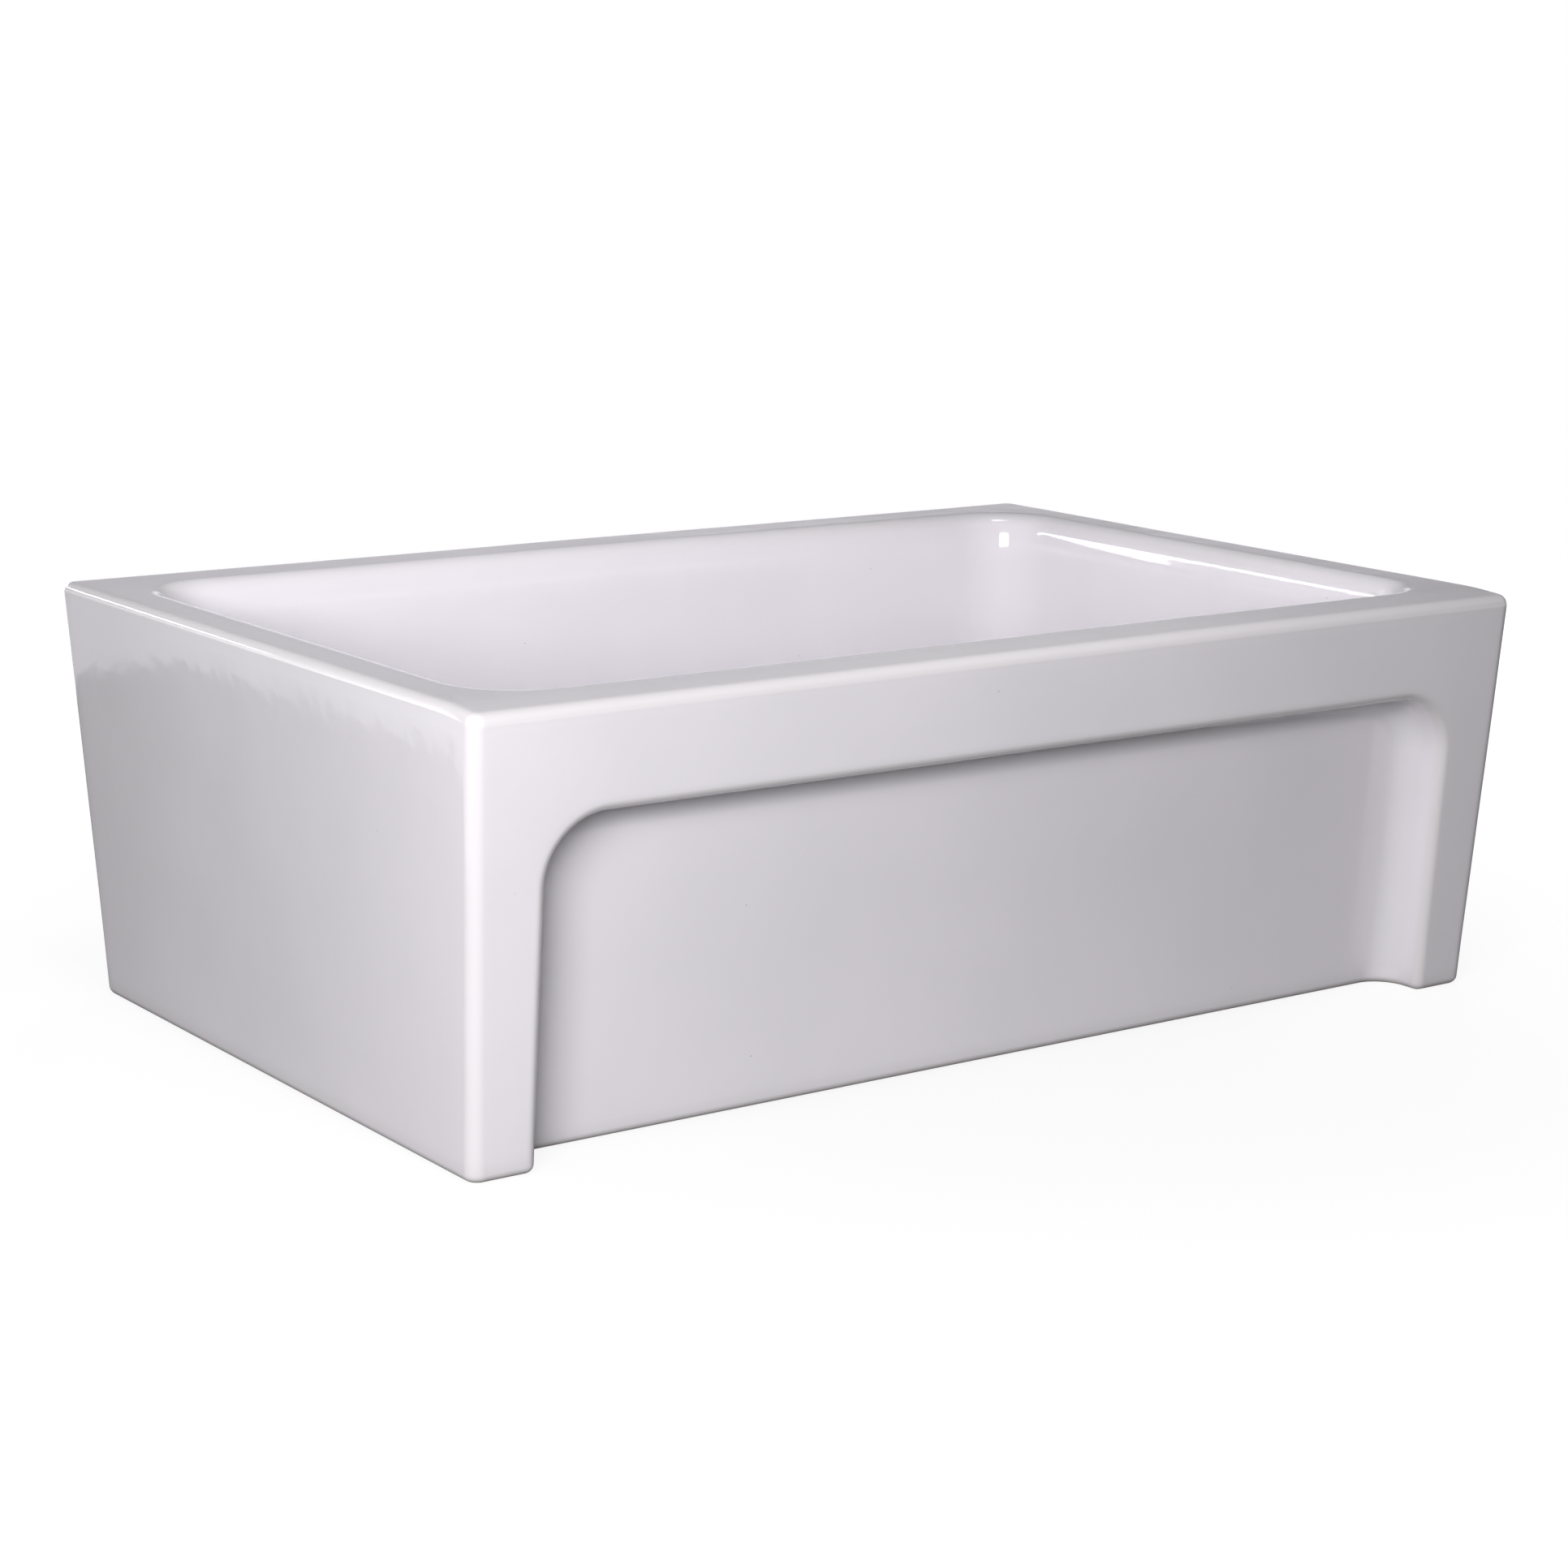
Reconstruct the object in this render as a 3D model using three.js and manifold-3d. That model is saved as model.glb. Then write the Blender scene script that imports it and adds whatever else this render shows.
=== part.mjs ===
// Farmhouse apron front sink in glazed fireclay, with its basket strainer drain.
// Millimetres. +X runs along the sink, -Y is the apron, +Z is up. The origin lies on the
// basin's underside, on the axis of the drain.

import * as THREE from 'three';
import { mergeVertices } from 'three/addons/utils/BufferGeometryUtils.js';
import Module from 'manifold-3d';

const wasm = await Module();
wasm.setup();

// ---------------------------------------------------------------- driving dimensions

// The casting, measured at its rim.
const SINK_LENGTH = 762;
const SINK_DEPTH = 505;
const SINK_HEIGHT = 259;
const END_LEAN = 8.8;          // how far each end wall comes in from rim to base
const FRONT_LEAN = 18.3;       // the same for the apron
const REAR_LEAN = 32.6;        // the same for the rear wall
const UPRIGHT_RADIUS = 9;      // the four outer upright corners
const RIM_OUTER_RADIUS = 8;    // rim to outer walls
const BASE_RADIUS = 5;         // outer walls to underside

// The bowl.
const END_RIM = 28;            // flat rim, outer face to the start of the inner rounding
const FRONT_RIM = 34;
const REAR_RIM = 36;
const RIM_INNER_RADIUS = 10;   // rim to bowl walls
const BOWL_CORNER_RADIUS = 40; // upright corners inside the bowl
const BOWL_DRAFT_DEG = 2;      // end and rear walls of the bowl
const BOWL_FRONT_DRAFT_DEG = 5.5;
const COVE_RADIUS = 30;        // bowl walls to floor
const FLOOR_THICKNESS = 25;    // at the drain
const FLOOR_FALL = 4;          // how far the floor drops from the cove to the drain

// The recess in the apron, open at the bottom.
const LEG_WIDTH = 41;          // at the base
const TOP_RAIL_HEIGHT = 63;
const RECESS_DEPTH = 32.5;
const RECESS_CORNER_RADIUS = 38;
const RECESS_LIP_RADIUS = 6;   // apron face to the recess's side
const LIP_START_DEG = 15;      // the lip leaves the apron face at this angle
const PANEL_COVE_RADIUS = 17;  // the recess's side to its panel
const LEG_FOOT_RADIUS = 4.5;   // inner side of a leg to the underside

// The drain hole and the shallow seat round it. Widths of rings are radial from here on.
const DRAIN_HOLE_DIAMETER = 90;
const SEAT_WIDTH = 14;
const SEAT_DEPTH = 3.2;

// The strainer body.
const FLANGE_CLEARANCE = 2.5;  // flange to the seat's wall
const FLANGE_THICKNESS = 1.6;
const SEAL_THICKNESS = 0.9;
const SEAL_INSET = 3;          // the putty stays this far inside the flange's edge
const NECK_CLEARANCE = 0.7;    // neck to the drain hole
const NECK_STEP = 1.6;         // the neck is this much wider than the threaded barrel
const NECK_LENGTH = 4;
const THROAT_BEVEL = 3;        // from the flange's top down into the neck
const BODY_WALL = 1.5;
const BODY_COVE_RADIUS = 8;
const DISH_DROP = 5;           // fall of the body's dished bottom to the outlet
const OUTLET_DIAMETER = 41;
const SPUD_WALL = 3.3;
const SPUD_LENGTH = 21;
const THREAD_SPARE = 8;        // barrel left below the lock nut

// Rings and nuts under the basin.
const GASKET_THICKNESS = 3;
const GASKET_WIDTH = 13;
const FRICTION_THICKNESS = 1.2;
const FRICTION_WIDTH = 12;
const LOCK_NUT_HEIGHT = 9;
const LOCK_NUT_WIDTH = 12;
const LOCK_NUT_WEB = 4;        // ring left between the thread and the notches
const LOCK_NUT_NOTCHES = 8;
const NOTCH_DEG = 26;
const LOCK_NUT_SOLE = 2.5;     // unnotched disc at the top of the nut
const COUPLING_NUT_WALL = 4.9; // at the middle of a flat
const COUPLING_NUT_GRIP = 12;  // how far it reaches up the spud
const COUPLING_LIP_HEIGHT = 2.5;
const COUPLING_LIP_WIDTH = 4.6;
const PIPE_WASHER_THICKNESS = 2.4;
const PIPE_WASHER_WIDTH = 4.5;

// The stem's guide in the outlet.
const GUIDE_DROP = 5;          // below the dish's lowest point
const GUIDE_HEIGHT = 5;
const GUIDE_RING_WALL = 1.4;
const GUIDE_HUB_WALL = 2.6;
const GUIDE_ARM_WIDTH = 3;
const GUIDE_ARMS = 3;

// The basket.
const BASKET_WALL = 1;
const BASKET_GAP = 2.5;        // basket to body, at the top
const BASKET_TAPER = 5;        // how much narrower its floor is, on the radius
const BASKET_COVE_RADIUS = 6;
const BASKET_RIM_THICKNESS = 1.2;
const SIDE_SLOTS = 18;
const SLOT_WIDTH = 3;
const SLOT_MARGIN_ABOVE = 7;   // wall left between a slot and the rim
const SLOT_MARGIN_BELOW = 3.5; // wall left between a slot and the cove
const FLOOR_HOLE_DIAMETER = 3.6;
const FLOOR_HOLE_RINGS = [8, 14]; // holes in each ring, from the middle out

// The stem, its bushing and the stopper.
const STEM_DIAMETER = 6;
const STEM_TRAVEL = 10;
const STEM_TAIL = 4;           // below the guide
const BUSHING_WALL = 1.1;      // outside the groove of the O-ring
const BUSHING_FLANGE_WIDTH = 2.5;
const BUSHING_FLANGE_HEIGHT = 1.6;
const BUSHING_HEIGHT = 9;
const O_RING_SECTION = 1.8;
const KNOB_DIAMETER = 24;
const KNOB_HEIGHT = 13;
const KNOB_EDGE_RADIUS = 3.2;
const KNOB_UNDERCUT_DEG = 70;  // how far the edge's rounding turns under
const KNOB_HOLLOW = 1.6;       // dip in the knob's top
const KNOB_NECK_WALL = 2.2;    // round the stem's socket
const KNOB_DROP = 1;           // knob's top below the flange's
const KNOB_SOCKET = 8;         // depth of the stem's socket in the knob
const STOPPER_OVERLAP = 6.5;   // rubber beyond the outlet
const STOPPER_THICKNESS = 4;
const STOPPER_CHAMFER = 1;
const PLUG_CLEARANCE = 1;      // the rubber's plug to the outlet's wall
const SEAL_WASHER_THICKNESS = 1.2;
const SEAL_WASHER_INSET = 7;   // inside the rubber's edge
const STEM_NUT_WALL = 2.2;     // at the middle of a flat
const STEM_NUT_HEIGHT = 3.6;
const BASKET_FLOOR_CLEARANCE = 3; // raised stopper to the basket's floor

const GAP = 0.3;               // between pieces that touch
const SLIDING_GAP = 0.35;      // round the stem
const OVERCUT = 1;             // how far a cutter runs past what it cuts

// How finely round shapes are cut.
const TURNED_SIDES = 36;
const SMALL_SIDES = 20;
const OUTER_CORNER_STEPS = 5;
const BOWL_CORNER_STEPS = 9;
const FILLET_STEPS = 5;
const COVE_STEPS = 7;
const HOLE_SIDES = 8;
const FINENESS = 0.01;         // slivers thinner than this are closed up after a cut

// ---------------------------------------------------------------- levels worked out from them

const seatZ = FLOOR_THICKNESS - SEAT_DEPTH;
const sealBottomZ = seatZ + GAP;
const sealTopZ = sealBottomZ + SEAL_THICKNESS;
const flangeBottomZ = sealTopZ + GAP;
const flangeTopZ = flangeBottomZ + FLANGE_THICKNESS;
const holeRadius = DRAIN_HOLE_DIAMETER / 2;
const seatRadius = holeRadius + SEAT_WIDTH;
const flangeRadius = seatRadius - FLANGE_CLEARANCE;
const neckRadius = holeRadius - NECK_CLEARANCE;
const throatRadius = neckRadius - BODY_WALL;
const barrelRadius = neckRadius - NECK_STEP;
const cupRadius = barrelRadius - BODY_WALL;
const neckBottomZ = flangeBottomZ - NECK_LENGTH;

const gasketTopZ = -GAP;
const gasketBottomZ = gasketTopZ - GASKET_THICKNESS;
const frictionTopZ = gasketBottomZ - GAP;
const frictionBottomZ = frictionTopZ - FRICTION_THICKNESS;
const lockNutTopZ = frictionBottomZ - GAP;
const lockNutBottomZ = lockNutTopZ - LOCK_NUT_HEIGHT;
const barrelBottomZ = lockNutBottomZ - THREAD_SPARE;
const cupFloorZ = barrelBottomZ - BODY_COVE_RADIUS;
const dishEdgeRadius = cupRadius - BODY_COVE_RADIUS;
const outletRadius = OUTLET_DIAMETER / 2;
const outletTopZ = cupFloorZ - DISH_DROP;
const spudRadius = outletRadius + SPUD_WALL;
const spudBottomZ = outletTopZ - SPUD_LENGTH;

const pipeWasherTopZ = spudBottomZ - GAP;
const pipeWasherBottomZ = pipeWasherTopZ - PIPE_WASHER_THICKNESS;
const couplingLipZ = pipeWasherBottomZ - GAP;
const couplingBottomZ = couplingLipZ - COUPLING_LIP_HEIGHT;
const couplingTopZ = spudBottomZ + COUPLING_NUT_GRIP;
const couplingThreadRadius = spudRadius + GAP;

const guideTopZ = outletTopZ - GUIDE_DROP;
const guideBottomZ = guideTopZ - GUIDE_HEIGHT;
const stemRadius = STEM_DIAMETER / 2;
const stemBottomZ = guideBottomZ - STEM_TAIL;

const stopperRadius = outletRadius + STOPPER_OVERLAP;
const dishSlope = DISH_DROP / (dishEdgeRadius - outletRadius);
const dishZ = (radius) => outletTopZ + (radius - outletRadius) * dishSlope;
const stopperTopZ = dishZ(stopperRadius) + GAP + STOPPER_THICKNESS;
const stopperBottomZ = outletTopZ + GAP;
const sealWasherBottomZ = stopperTopZ + GAP;
const sealWasherTopZ = sealWasherBottomZ + SEAL_WASHER_THICKNESS;
const basketFloorZ = sealWasherTopZ + STEM_TRAVEL + BASKET_FLOOR_CLEARANCE;
const basketRimZ = neckBottomZ + GAP;
const bushingBottomZ = basketFloorZ - BUSHING_FLANGE_HEIGHT - GAP;
const bushingTopZ = bushingBottomZ + BUSHING_HEIGHT;
const knobTopZ = flangeTopZ - KNOB_DROP;
const knobBottomZ = knobTopZ - KNOB_HEIGHT;

const slidingBore = stemRadius + SLIDING_GAP;
const grooveRadius = slidingBore + O_RING_SECTION + GAP;
const bushingRadius = grooveRadius + BUSHING_WALL;
const bushingFlangeRadius = bushingRadius + BUSHING_FLANGE_WIDTH;
const oRingCentreZ = (basketFloorZ + BASKET_WALL + bushingTopZ) / 2;
const basketTopRadius = cupRadius - BASKET_GAP;
const basketFloorRadius = basketTopRadius - BASKET_TAPER;

// ---------------------------------------------------------------- tools for shapes

// A closed solid from a geometry whose faces point outwards.
function solidOf(geometry) {
  const bare = geometry.clone();
  bare.deleteAttribute('normal');
  bare.deleteAttribute('uv');
  const merged = mergeVertices(bare, 1e-3);
  const triangles = [];
  const index = merged.index.array;
  for (let i = 0; i < index.length; i += 3) {
    const [a, b, c] = [index[i], index[i + 1], index[i + 2]];
    if (a !== b && b !== c && c !== a) triangles.push(a, b, c);
  }
  return new wasm.Manifold(new wasm.Mesh({
    numProp: 3,
    vertProperties: new Float32Array(merged.attributes.position.array),
    triVerts: new Uint32Array(triangles),
  }));
}

function geometryOf(solid) {
  const mesh = solid.getMesh();
  const geometry = new THREE.BufferGeometry();
  geometry.setAttribute('position', new THREE.BufferAttribute(mesh.vertProperties, 3));
  geometry.setIndex(new THREE.BufferAttribute(mesh.triVerts, 1));
  geometry.computeVertexNormals();
  return geometry;
}

// A solid through a stack of rings of [x, y, z] points, each ring with as many points as the
// next. Both ends close with a fan from a centre point; rings run anticlockwise seen from the
// last ring's side.
function loft(rings, startCentre, endCentre) {
  const count = rings[0].length;
  const positions = rings.flat(2);
  const index = [];
  for (let ring = 0; ring < rings.length - 1; ring += 1) {
    for (let i = 0; i < count; i += 1) {
      const next = (i + 1) % count;
      const [a, b] = [ring * count + i, ring * count + next];
      const [c, d] = [a + count, b + count];
      index.push(a, b, d, a, d, c);
    }
  }
  const start = positions.length / 3;
  positions.push(...startCentre, ...endCentre);
  const last = (rings.length - 1) * count;
  for (let i = 0; i < count; i += 1) {
    const next = (i + 1) % count;
    index.push(start, next, i, start + 1, last + i, last + next);
  }
  const geometry = new THREE.BufferGeometry();
  geometry.setAttribute('position', new THREE.Float32BufferAttribute(positions, 3));
  geometry.setIndex(index);
  return solidOf(geometry);
}

// Points of an arc about a centre, both ends included.
function arc(centreA, centreB, radius, fromDeg, toDeg, steps) {
  const points = [];
  for (let i = 0; i <= steps; i += 1) {
    const angle = THREE.MathUtils.degToRad(fromDeg + ((toDeg - fromDeg) * i) / steps);
    points.push([centreA + radius * Math.cos(angle), centreB + radius * Math.sin(angle)]);
  }
  return points;
}

// A rectangle with rounded corners at one level, anticlockwise seen from above.
function roundedRing(halfX, front, rear, radius, steps, z) {
  const [right, left] = [halfX - radius, radius - halfX];
  const [low, high] = [front + radius, rear - radius];
  return [
    ...arc(right, low, radius, -90, 0, steps),
    ...arc(right, high, radius, 0, 90, steps),
    ...arc(left, high, radius, 90, 180, steps),
    ...arc(left, low, radius, 180, 270, steps),
  ].map(([x, y]) => [x, y, z]);
}

// A solid of revolution about Z. The outline is [radius, z] points, anticlockwise with the
// radius to the right; it starts and ends on the axis, or closes on itself.
function turned(outline, sides = TURNED_SIDES) {
  const onAxis = outline[0][0] === 0;
  const closed = onAxis ? outline : [...outline, outline[0]];
  const geometry = new THREE.LatheGeometry(closed.map(([r, z]) => new THREE.Vector2(r, z)), sides);
  geometry.rotateX(Math.PI / 2);
  return solidOf(geometry);
}

function ring(innerRadius, outerRadius, bottomZ, topZ, sides = TURNED_SIDES) {
  return turned([
    [innerRadius, bottomZ], [outerRadius, bottomZ], [outerRadius, topZ], [innerRadius, topZ],
  ], sides);
}

// A ring that goes over the strainer's barrel, under the basin.
function belowRing(width, bottomZ, topZ) {
  const inner = barrelRadius + GAP;
  return ring(inner, inner + width, bottomZ, topZ);
}

function rod(radius, bottomZ, topZ, sides = SMALL_SIDES) {
  return turned([[0, bottomZ], [radius, bottomZ], [radius, topZ], [0, topZ]], sides);
}

// An upright prism of any outline, [x, y] points anticlockwise.
function prism(outline, bottomZ, topZ) {
  const shape = new THREE.Shape(outline.map(([x, y]) => new THREE.Vector2(x, y)));
  const geometry = new THREE.ExtrudeGeometry(shape, { depth: topZ - bottomZ, bevelEnabled: false });
  geometry.translate(0, 0, bottomZ);
  return solidOf(geometry);
}

// A hexagon by the radius of the circle inside it, with flats towards +X and -X.
function hexagon(flatRadius) {
  return arc(0, 0, flatRadius / Math.cos(Math.PI / 6), 30, 330, 5);
}

// Copies of a solid turned about Z.
function around(solid, count, startDeg = 0) {
  const copies = [];
  for (let i = 0; i < count; i += 1) copies.push(solid.rotate([0, 0, startDeg + (360 * i) / count]));
  return copies;
}

const cut = (solid, cutters) => (
  cutters.reduce((left, cutter) => left.subtract(cutter), solid).simplify(FINENESS)
);
const join = (solids) => solids.reduce((whole, solid) => whole.add(solid)).simplify(FINENESS);

// ---------------------------------------------------------------- the fireclay basin

const leanAt = (lean, z) => lean * (1 - z / SINK_HEIGHT);
const apronY = (z) => -SINK_DEPTH / 2 + leanAt(FRONT_LEAN, z);
const rearY = (z) => SINK_DEPTH / 2 - leanAt(REAR_LEAN, z);
const endX = (z) => SINK_LENGTH / 2 - leanAt(END_LEAN, z);

// The whole block: leaning walls with every outer edge rounded.
function outerBlock() {
  const levels = [];
  for (const [inset, z] of arc(0, BASE_RADIUS, BASE_RADIUS, -90, 0, FILLET_STEPS)) {
    levels.push([BASE_RADIUS - inset, z]);
  }
  const shoulder = SINK_HEIGHT - RIM_OUTER_RADIUS;
  for (const [inset, z] of arc(0, shoulder, RIM_OUTER_RADIUS, 0, 90, FILLET_STEPS)) {
    levels.push([RIM_OUTER_RADIUS - inset, z]);
  }
  const rings = levels.map(([inset, z]) => roundedRing(
    endX(z) - inset, apronY(z) + inset, rearY(z) - inset,
    UPRIGHT_RADIUS - inset, OUTER_CORNER_STEPS, z,
  ));
  return loft(rings, [0, 0, 0], [0, 0, SINK_HEIGHT]);
}

// The space inside the bowl, from above the rim down to the drain's low point.
function bowlSpace() {
  const slope = Math.tan(THREE.MathUtils.degToRad(BOWL_DRAFT_DEG));
  const frontSlope = Math.tan(THREE.MathUtils.degToRad(BOWL_FRONT_DRAFT_DEG));
  const floorEdgeZ = FLOOR_THICKNESS + FLOOR_FALL;
  const levels = [];
  for (const [inset, z] of arc(0, floorEdgeZ + COVE_RADIUS, COVE_RADIUS, -90, 0, COVE_STEPS)) {
    levels.push([COVE_RADIUS - inset, z]);
  }
  const lipZ = SINK_HEIGHT - RIM_INNER_RADIUS;
  for (const [flare, z] of arc(0, lipZ, RIM_INNER_RADIUS, 0, 90, FILLET_STEPS)) {
    levels.push([flare - RIM_INNER_RADIUS, z]);
  }
  const above = SINK_HEIGHT + RIM_INNER_RADIUS;
  levels.push([-RIM_INNER_RADIUS, above]);
  const rings = levels.map(([inset, z]) => {
    const depth = SINK_HEIGHT - Math.min(z, SINK_HEIGHT);
    return roundedRing(
      SINK_LENGTH / 2 - END_RIM - RIM_INNER_RADIUS - inset - depth * slope,
      -SINK_DEPTH / 2 + FRONT_RIM + RIM_INNER_RADIUS + inset + depth * frontSlope,
      SINK_DEPTH / 2 - REAR_RIM - RIM_INNER_RADIUS - inset - depth * slope,
      BOWL_CORNER_RADIUS - inset, BOWL_CORNER_STEPS, z,
    );
  });
  return loft(rings, [0, 0, FLOOR_THICKNESS], [0, 0, above]);
}

// The recess in the apron: an upside-down U that follows the apron's lean. Each slice lies a
// little deeper; its outline first closes in round the lip, then again round the panel's cove.
function apronRecess() {
  const halfWidth = endX(0) - LEG_WIDTH;
  const topZ = SINK_HEIGHT - TOP_RAIL_HEIGHT;
  const below = -2 * LEG_FOOT_RADIUS;
  const slices = arc(0, 0, RECESS_LIP_RADIUS, LIP_START_DEG, 90, FILLET_STEPS)
    .map(([a, b]) => [RECESS_LIP_RADIUS - a, RECESS_LIP_RADIUS - b]);
  const start = THREE.MathUtils.degToRad(LIP_START_DEG);
  slices.unshift([
    slices[0][0] - 2 * RECESS_LIP_RADIUS * Math.sin(start),
    slices[0][1] + 2 * RECESS_LIP_RADIUS * Math.cos(start),
  ]);
  for (const [a, b] of arc(0, 0, PANEL_COVE_RADIUS, 0, 90, COVE_STEPS)) {
    slices.push([RECESS_DEPTH - PANEL_COVE_RADIUS + b, a - PANEL_COVE_RADIUS]);
  }
  const rings = slices.map(([depth, outset]) => {
    const half = halfWidth + outset;
    const radius = RECESS_CORNER_RADIUS + outset;
    const top = topZ + outset;
    const rightSide = [
      [half + LEG_FOOT_RADIUS, below],
      ...arc(half + LEG_FOOT_RADIUS, LEG_FOOT_RADIUS, LEG_FOOT_RADIUS, 270, 180, FILLET_STEPS),
      ...arc(half - radius, top - radius, radius, 0, 90, BOWL_CORNER_STEPS),
    ];
    const leftSide = rightSide.map(([x, z]) => [-x, z]);
    return [...leftSide, ...rightSide.reverse()].map(([x, z]) => [x, apronY(z) + depth, z]);
  });
  const middle = topZ / 2;
  const [first, last] = [slices[0][0], RECESS_DEPTH];
  return loft(rings, [0, apronY(middle) + first, middle], [0, apronY(middle) + last, middle]);
}

function drainHole() {
  const above = FLOOR_THICKNESS + FLOOR_FALL + OVERCUT;
  return turned([
    [0, -OVERCUT], [holeRadius, -OVERCUT], [holeRadius, seatZ],
    [seatRadius, seatZ], [seatRadius, above], [0, above],
  ]);
}

function sinkBasin() {
  return cut(outerBlock(), [bowlSpace(), apronRecess(), drainHole()]);
}

// ---------------------------------------------------------------- the strainer under it

function strainerBody() {
  const curl = FLANGE_THICKNESS;
  return turned([
    // outside, from the foot of the spud up to the flange's edge
    [outletRadius, spudBottomZ],
    [spudRadius, spudBottomZ],
    [spudRadius, outletTopZ - BODY_WALL],
    [dishEdgeRadius, cupFloorZ - BODY_WALL],
    ...arc(dishEdgeRadius, barrelBottomZ, BODY_COVE_RADIUS + BODY_WALL, -90, 0, FILLET_STEPS)
      .slice(1),
    [barrelRadius, neckBottomZ - NECK_STEP],
    [neckRadius, neckBottomZ],
    [neckRadius, flangeBottomZ],
    [flangeRadius - curl, flangeBottomZ],
    [flangeRadius, sealBottomZ],
    [flangeRadius, flangeBottomZ],
    [flangeRadius - curl / 2, flangeTopZ],
    // inside, down the throat to the outlet
    [throatRadius + THROAT_BEVEL, flangeTopZ],
    [throatRadius, flangeTopZ - THROAT_BEVEL],
    [throatRadius, neckBottomZ],
    [cupRadius, neckBottomZ - NECK_STEP],
    ...arc(dishEdgeRadius, barrelBottomZ, BODY_COVE_RADIUS, 0, -90, FILLET_STEPS),
    [outletRadius, outletTopZ],
  ]);
}

function stemGuide() {
  const outer = outletRadius - GAP;
  const half = GUIDE_ARM_WIDTH / 2;
  const reach = outer - GUIDE_RING_WALL / 2;
  const arm = prism([[0, -half], [reach, -half], [reach, half], [0, half]], guideBottomZ, guideTopZ);
  const whole = join([
    ring(outer - GUIDE_RING_WALL, outer, guideBottomZ, guideTopZ),
    rod(slidingBore + GUIDE_HUB_WALL, guideBottomZ, guideTopZ),
    ...around(arm, GUIDE_ARMS),
  ]);
  return cut(whole, [rod(slidingBore, guideBottomZ - OVERCUT, guideTopZ + OVERCUT)]);
}

function lockNut() {
  const inner = barrelRadius + GAP;
  const web = inner + LOCK_NUT_WEB;
  const far = inner + 2 * LOCK_NUT_WIDTH;
  const spread = Math.tan(THREE.MathUtils.degToRad(NOTCH_DEG / 2));
  const notch = prism([
    [web, -web * spread], [far, -far * spread], [far, far * spread], [web, web * spread],
  ], lockNutBottomZ - OVERCUT, lockNutTopZ - LOCK_NUT_SOLE);
  return cut(belowRing(LOCK_NUT_WIDTH, lockNutBottomZ, lockNutTopZ), around(notch, LOCK_NUT_NOTCHES));
}

function couplingNut() {
  const bore = couplingThreadRadius - COUPLING_LIP_WIDTH;
  const space = turned([
    [0, couplingBottomZ - OVERCUT], [bore, couplingBottomZ - OVERCUT],
    [bore, couplingLipZ], [couplingThreadRadius, couplingLipZ],
    [couplingThreadRadius, couplingTopZ + OVERCUT], [0, couplingTopZ + OVERCUT],
  ]);
  const outside = hexagon(couplingThreadRadius + COUPLING_NUT_WALL);
  return cut(prism(outside, couplingBottomZ, couplingTopZ), [space]);
}

// ---------------------------------------------------------------- the removable basket

function basketCup() {
  const wall = BASKET_WALL;
  const rimRadius = throatRadius - GAP;
  const rimTopZ = basketRimZ + BASKET_RIM_THICKNESS;
  const bushingHole = bushingRadius + GAP;
  const coveCentre = basketFloorRadius - BASKET_COVE_RADIUS;
  const coveZ = basketFloorZ + BASKET_COVE_RADIUS;
  const cup = turned([
    [bushingHole, basketFloorZ],
    ...arc(coveCentre, coveZ, BASKET_COVE_RADIUS, -90, 0, FILLET_STEPS),
    [basketTopRadius, basketRimZ - wall],
    [cupRadius - GAP, basketRimZ - wall],
    [rimRadius, basketRimZ],
    [rimRadius, rimTopZ],
    [basketTopRadius - wall, rimTopZ],
    ...arc(coveCentre, coveZ, BASKET_COVE_RADIUS - wall, 0, -90, FILLET_STEPS),
    [bushingHole, basketFloorZ + wall],
  ]);
  const half = SLOT_WIDTH / 2;
  const inside = basketFloorRadius / 2;
  const slot = prism(
    [[inside, -half], [rimRadius, -half], [rimRadius, half], [inside, half]],
    coveZ + SLOT_MARGIN_BELOW, basketRimZ - SLOT_MARGIN_ABOVE,
  );
  const hole = rod(
    FLOOR_HOLE_DIAMETER / 2, basketFloorZ - OVERCUT, basketFloorZ + wall + OVERCUT, HOLE_SIDES,
  );
  const step = (coveCentre - bushingFlangeRadius) / (FLOOR_HOLE_RINGS.length + 1);
  const holes = FLOOR_HOLE_RINGS.flatMap((count, i) => (
    around(hole.translate([bushingFlangeRadius + (i + 1) * step, 0, 0]), count)
  ));
  return cut(cup, [...around(slot, SIDE_SLOTS), ...holes]);
}

function stemBushing() {
  const flangeTop = bushingBottomZ + BUSHING_FLANGE_HEIGHT;
  const half = O_RING_SECTION / 2 + GAP;
  return turned([
    [slidingBore, bushingBottomZ], [bushingFlangeRadius, bushingBottomZ],
    [bushingFlangeRadius, flangeTop], [bushingRadius, flangeTop],
    [bushingRadius, bushingTopZ], [slidingBore, bushingTopZ],
    [slidingBore, oRingCentreZ + half], [grooveRadius, oRingCentreZ + half],
    [grooveRadius, oRingCentreZ - half], [slidingBore, oRingCentreZ - half],
  ], SMALL_SIDES);
}

function stemORing() {
  const half = O_RING_SECTION / 2;
  return turned(arc(slidingBore + half, oRingCentreZ, half, 0, 315, 7), SMALL_SIDES);
}

function stem() {
  const top = knobBottomZ + KNOB_SOCKET - GAP;
  return turned([
    [0, stemBottomZ], [stemRadius / 2, stemBottomZ], [stemRadius, stemBottomZ + stemRadius],
    [stemRadius, top], [0, top],
  ], SMALL_SIDES);
}

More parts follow.
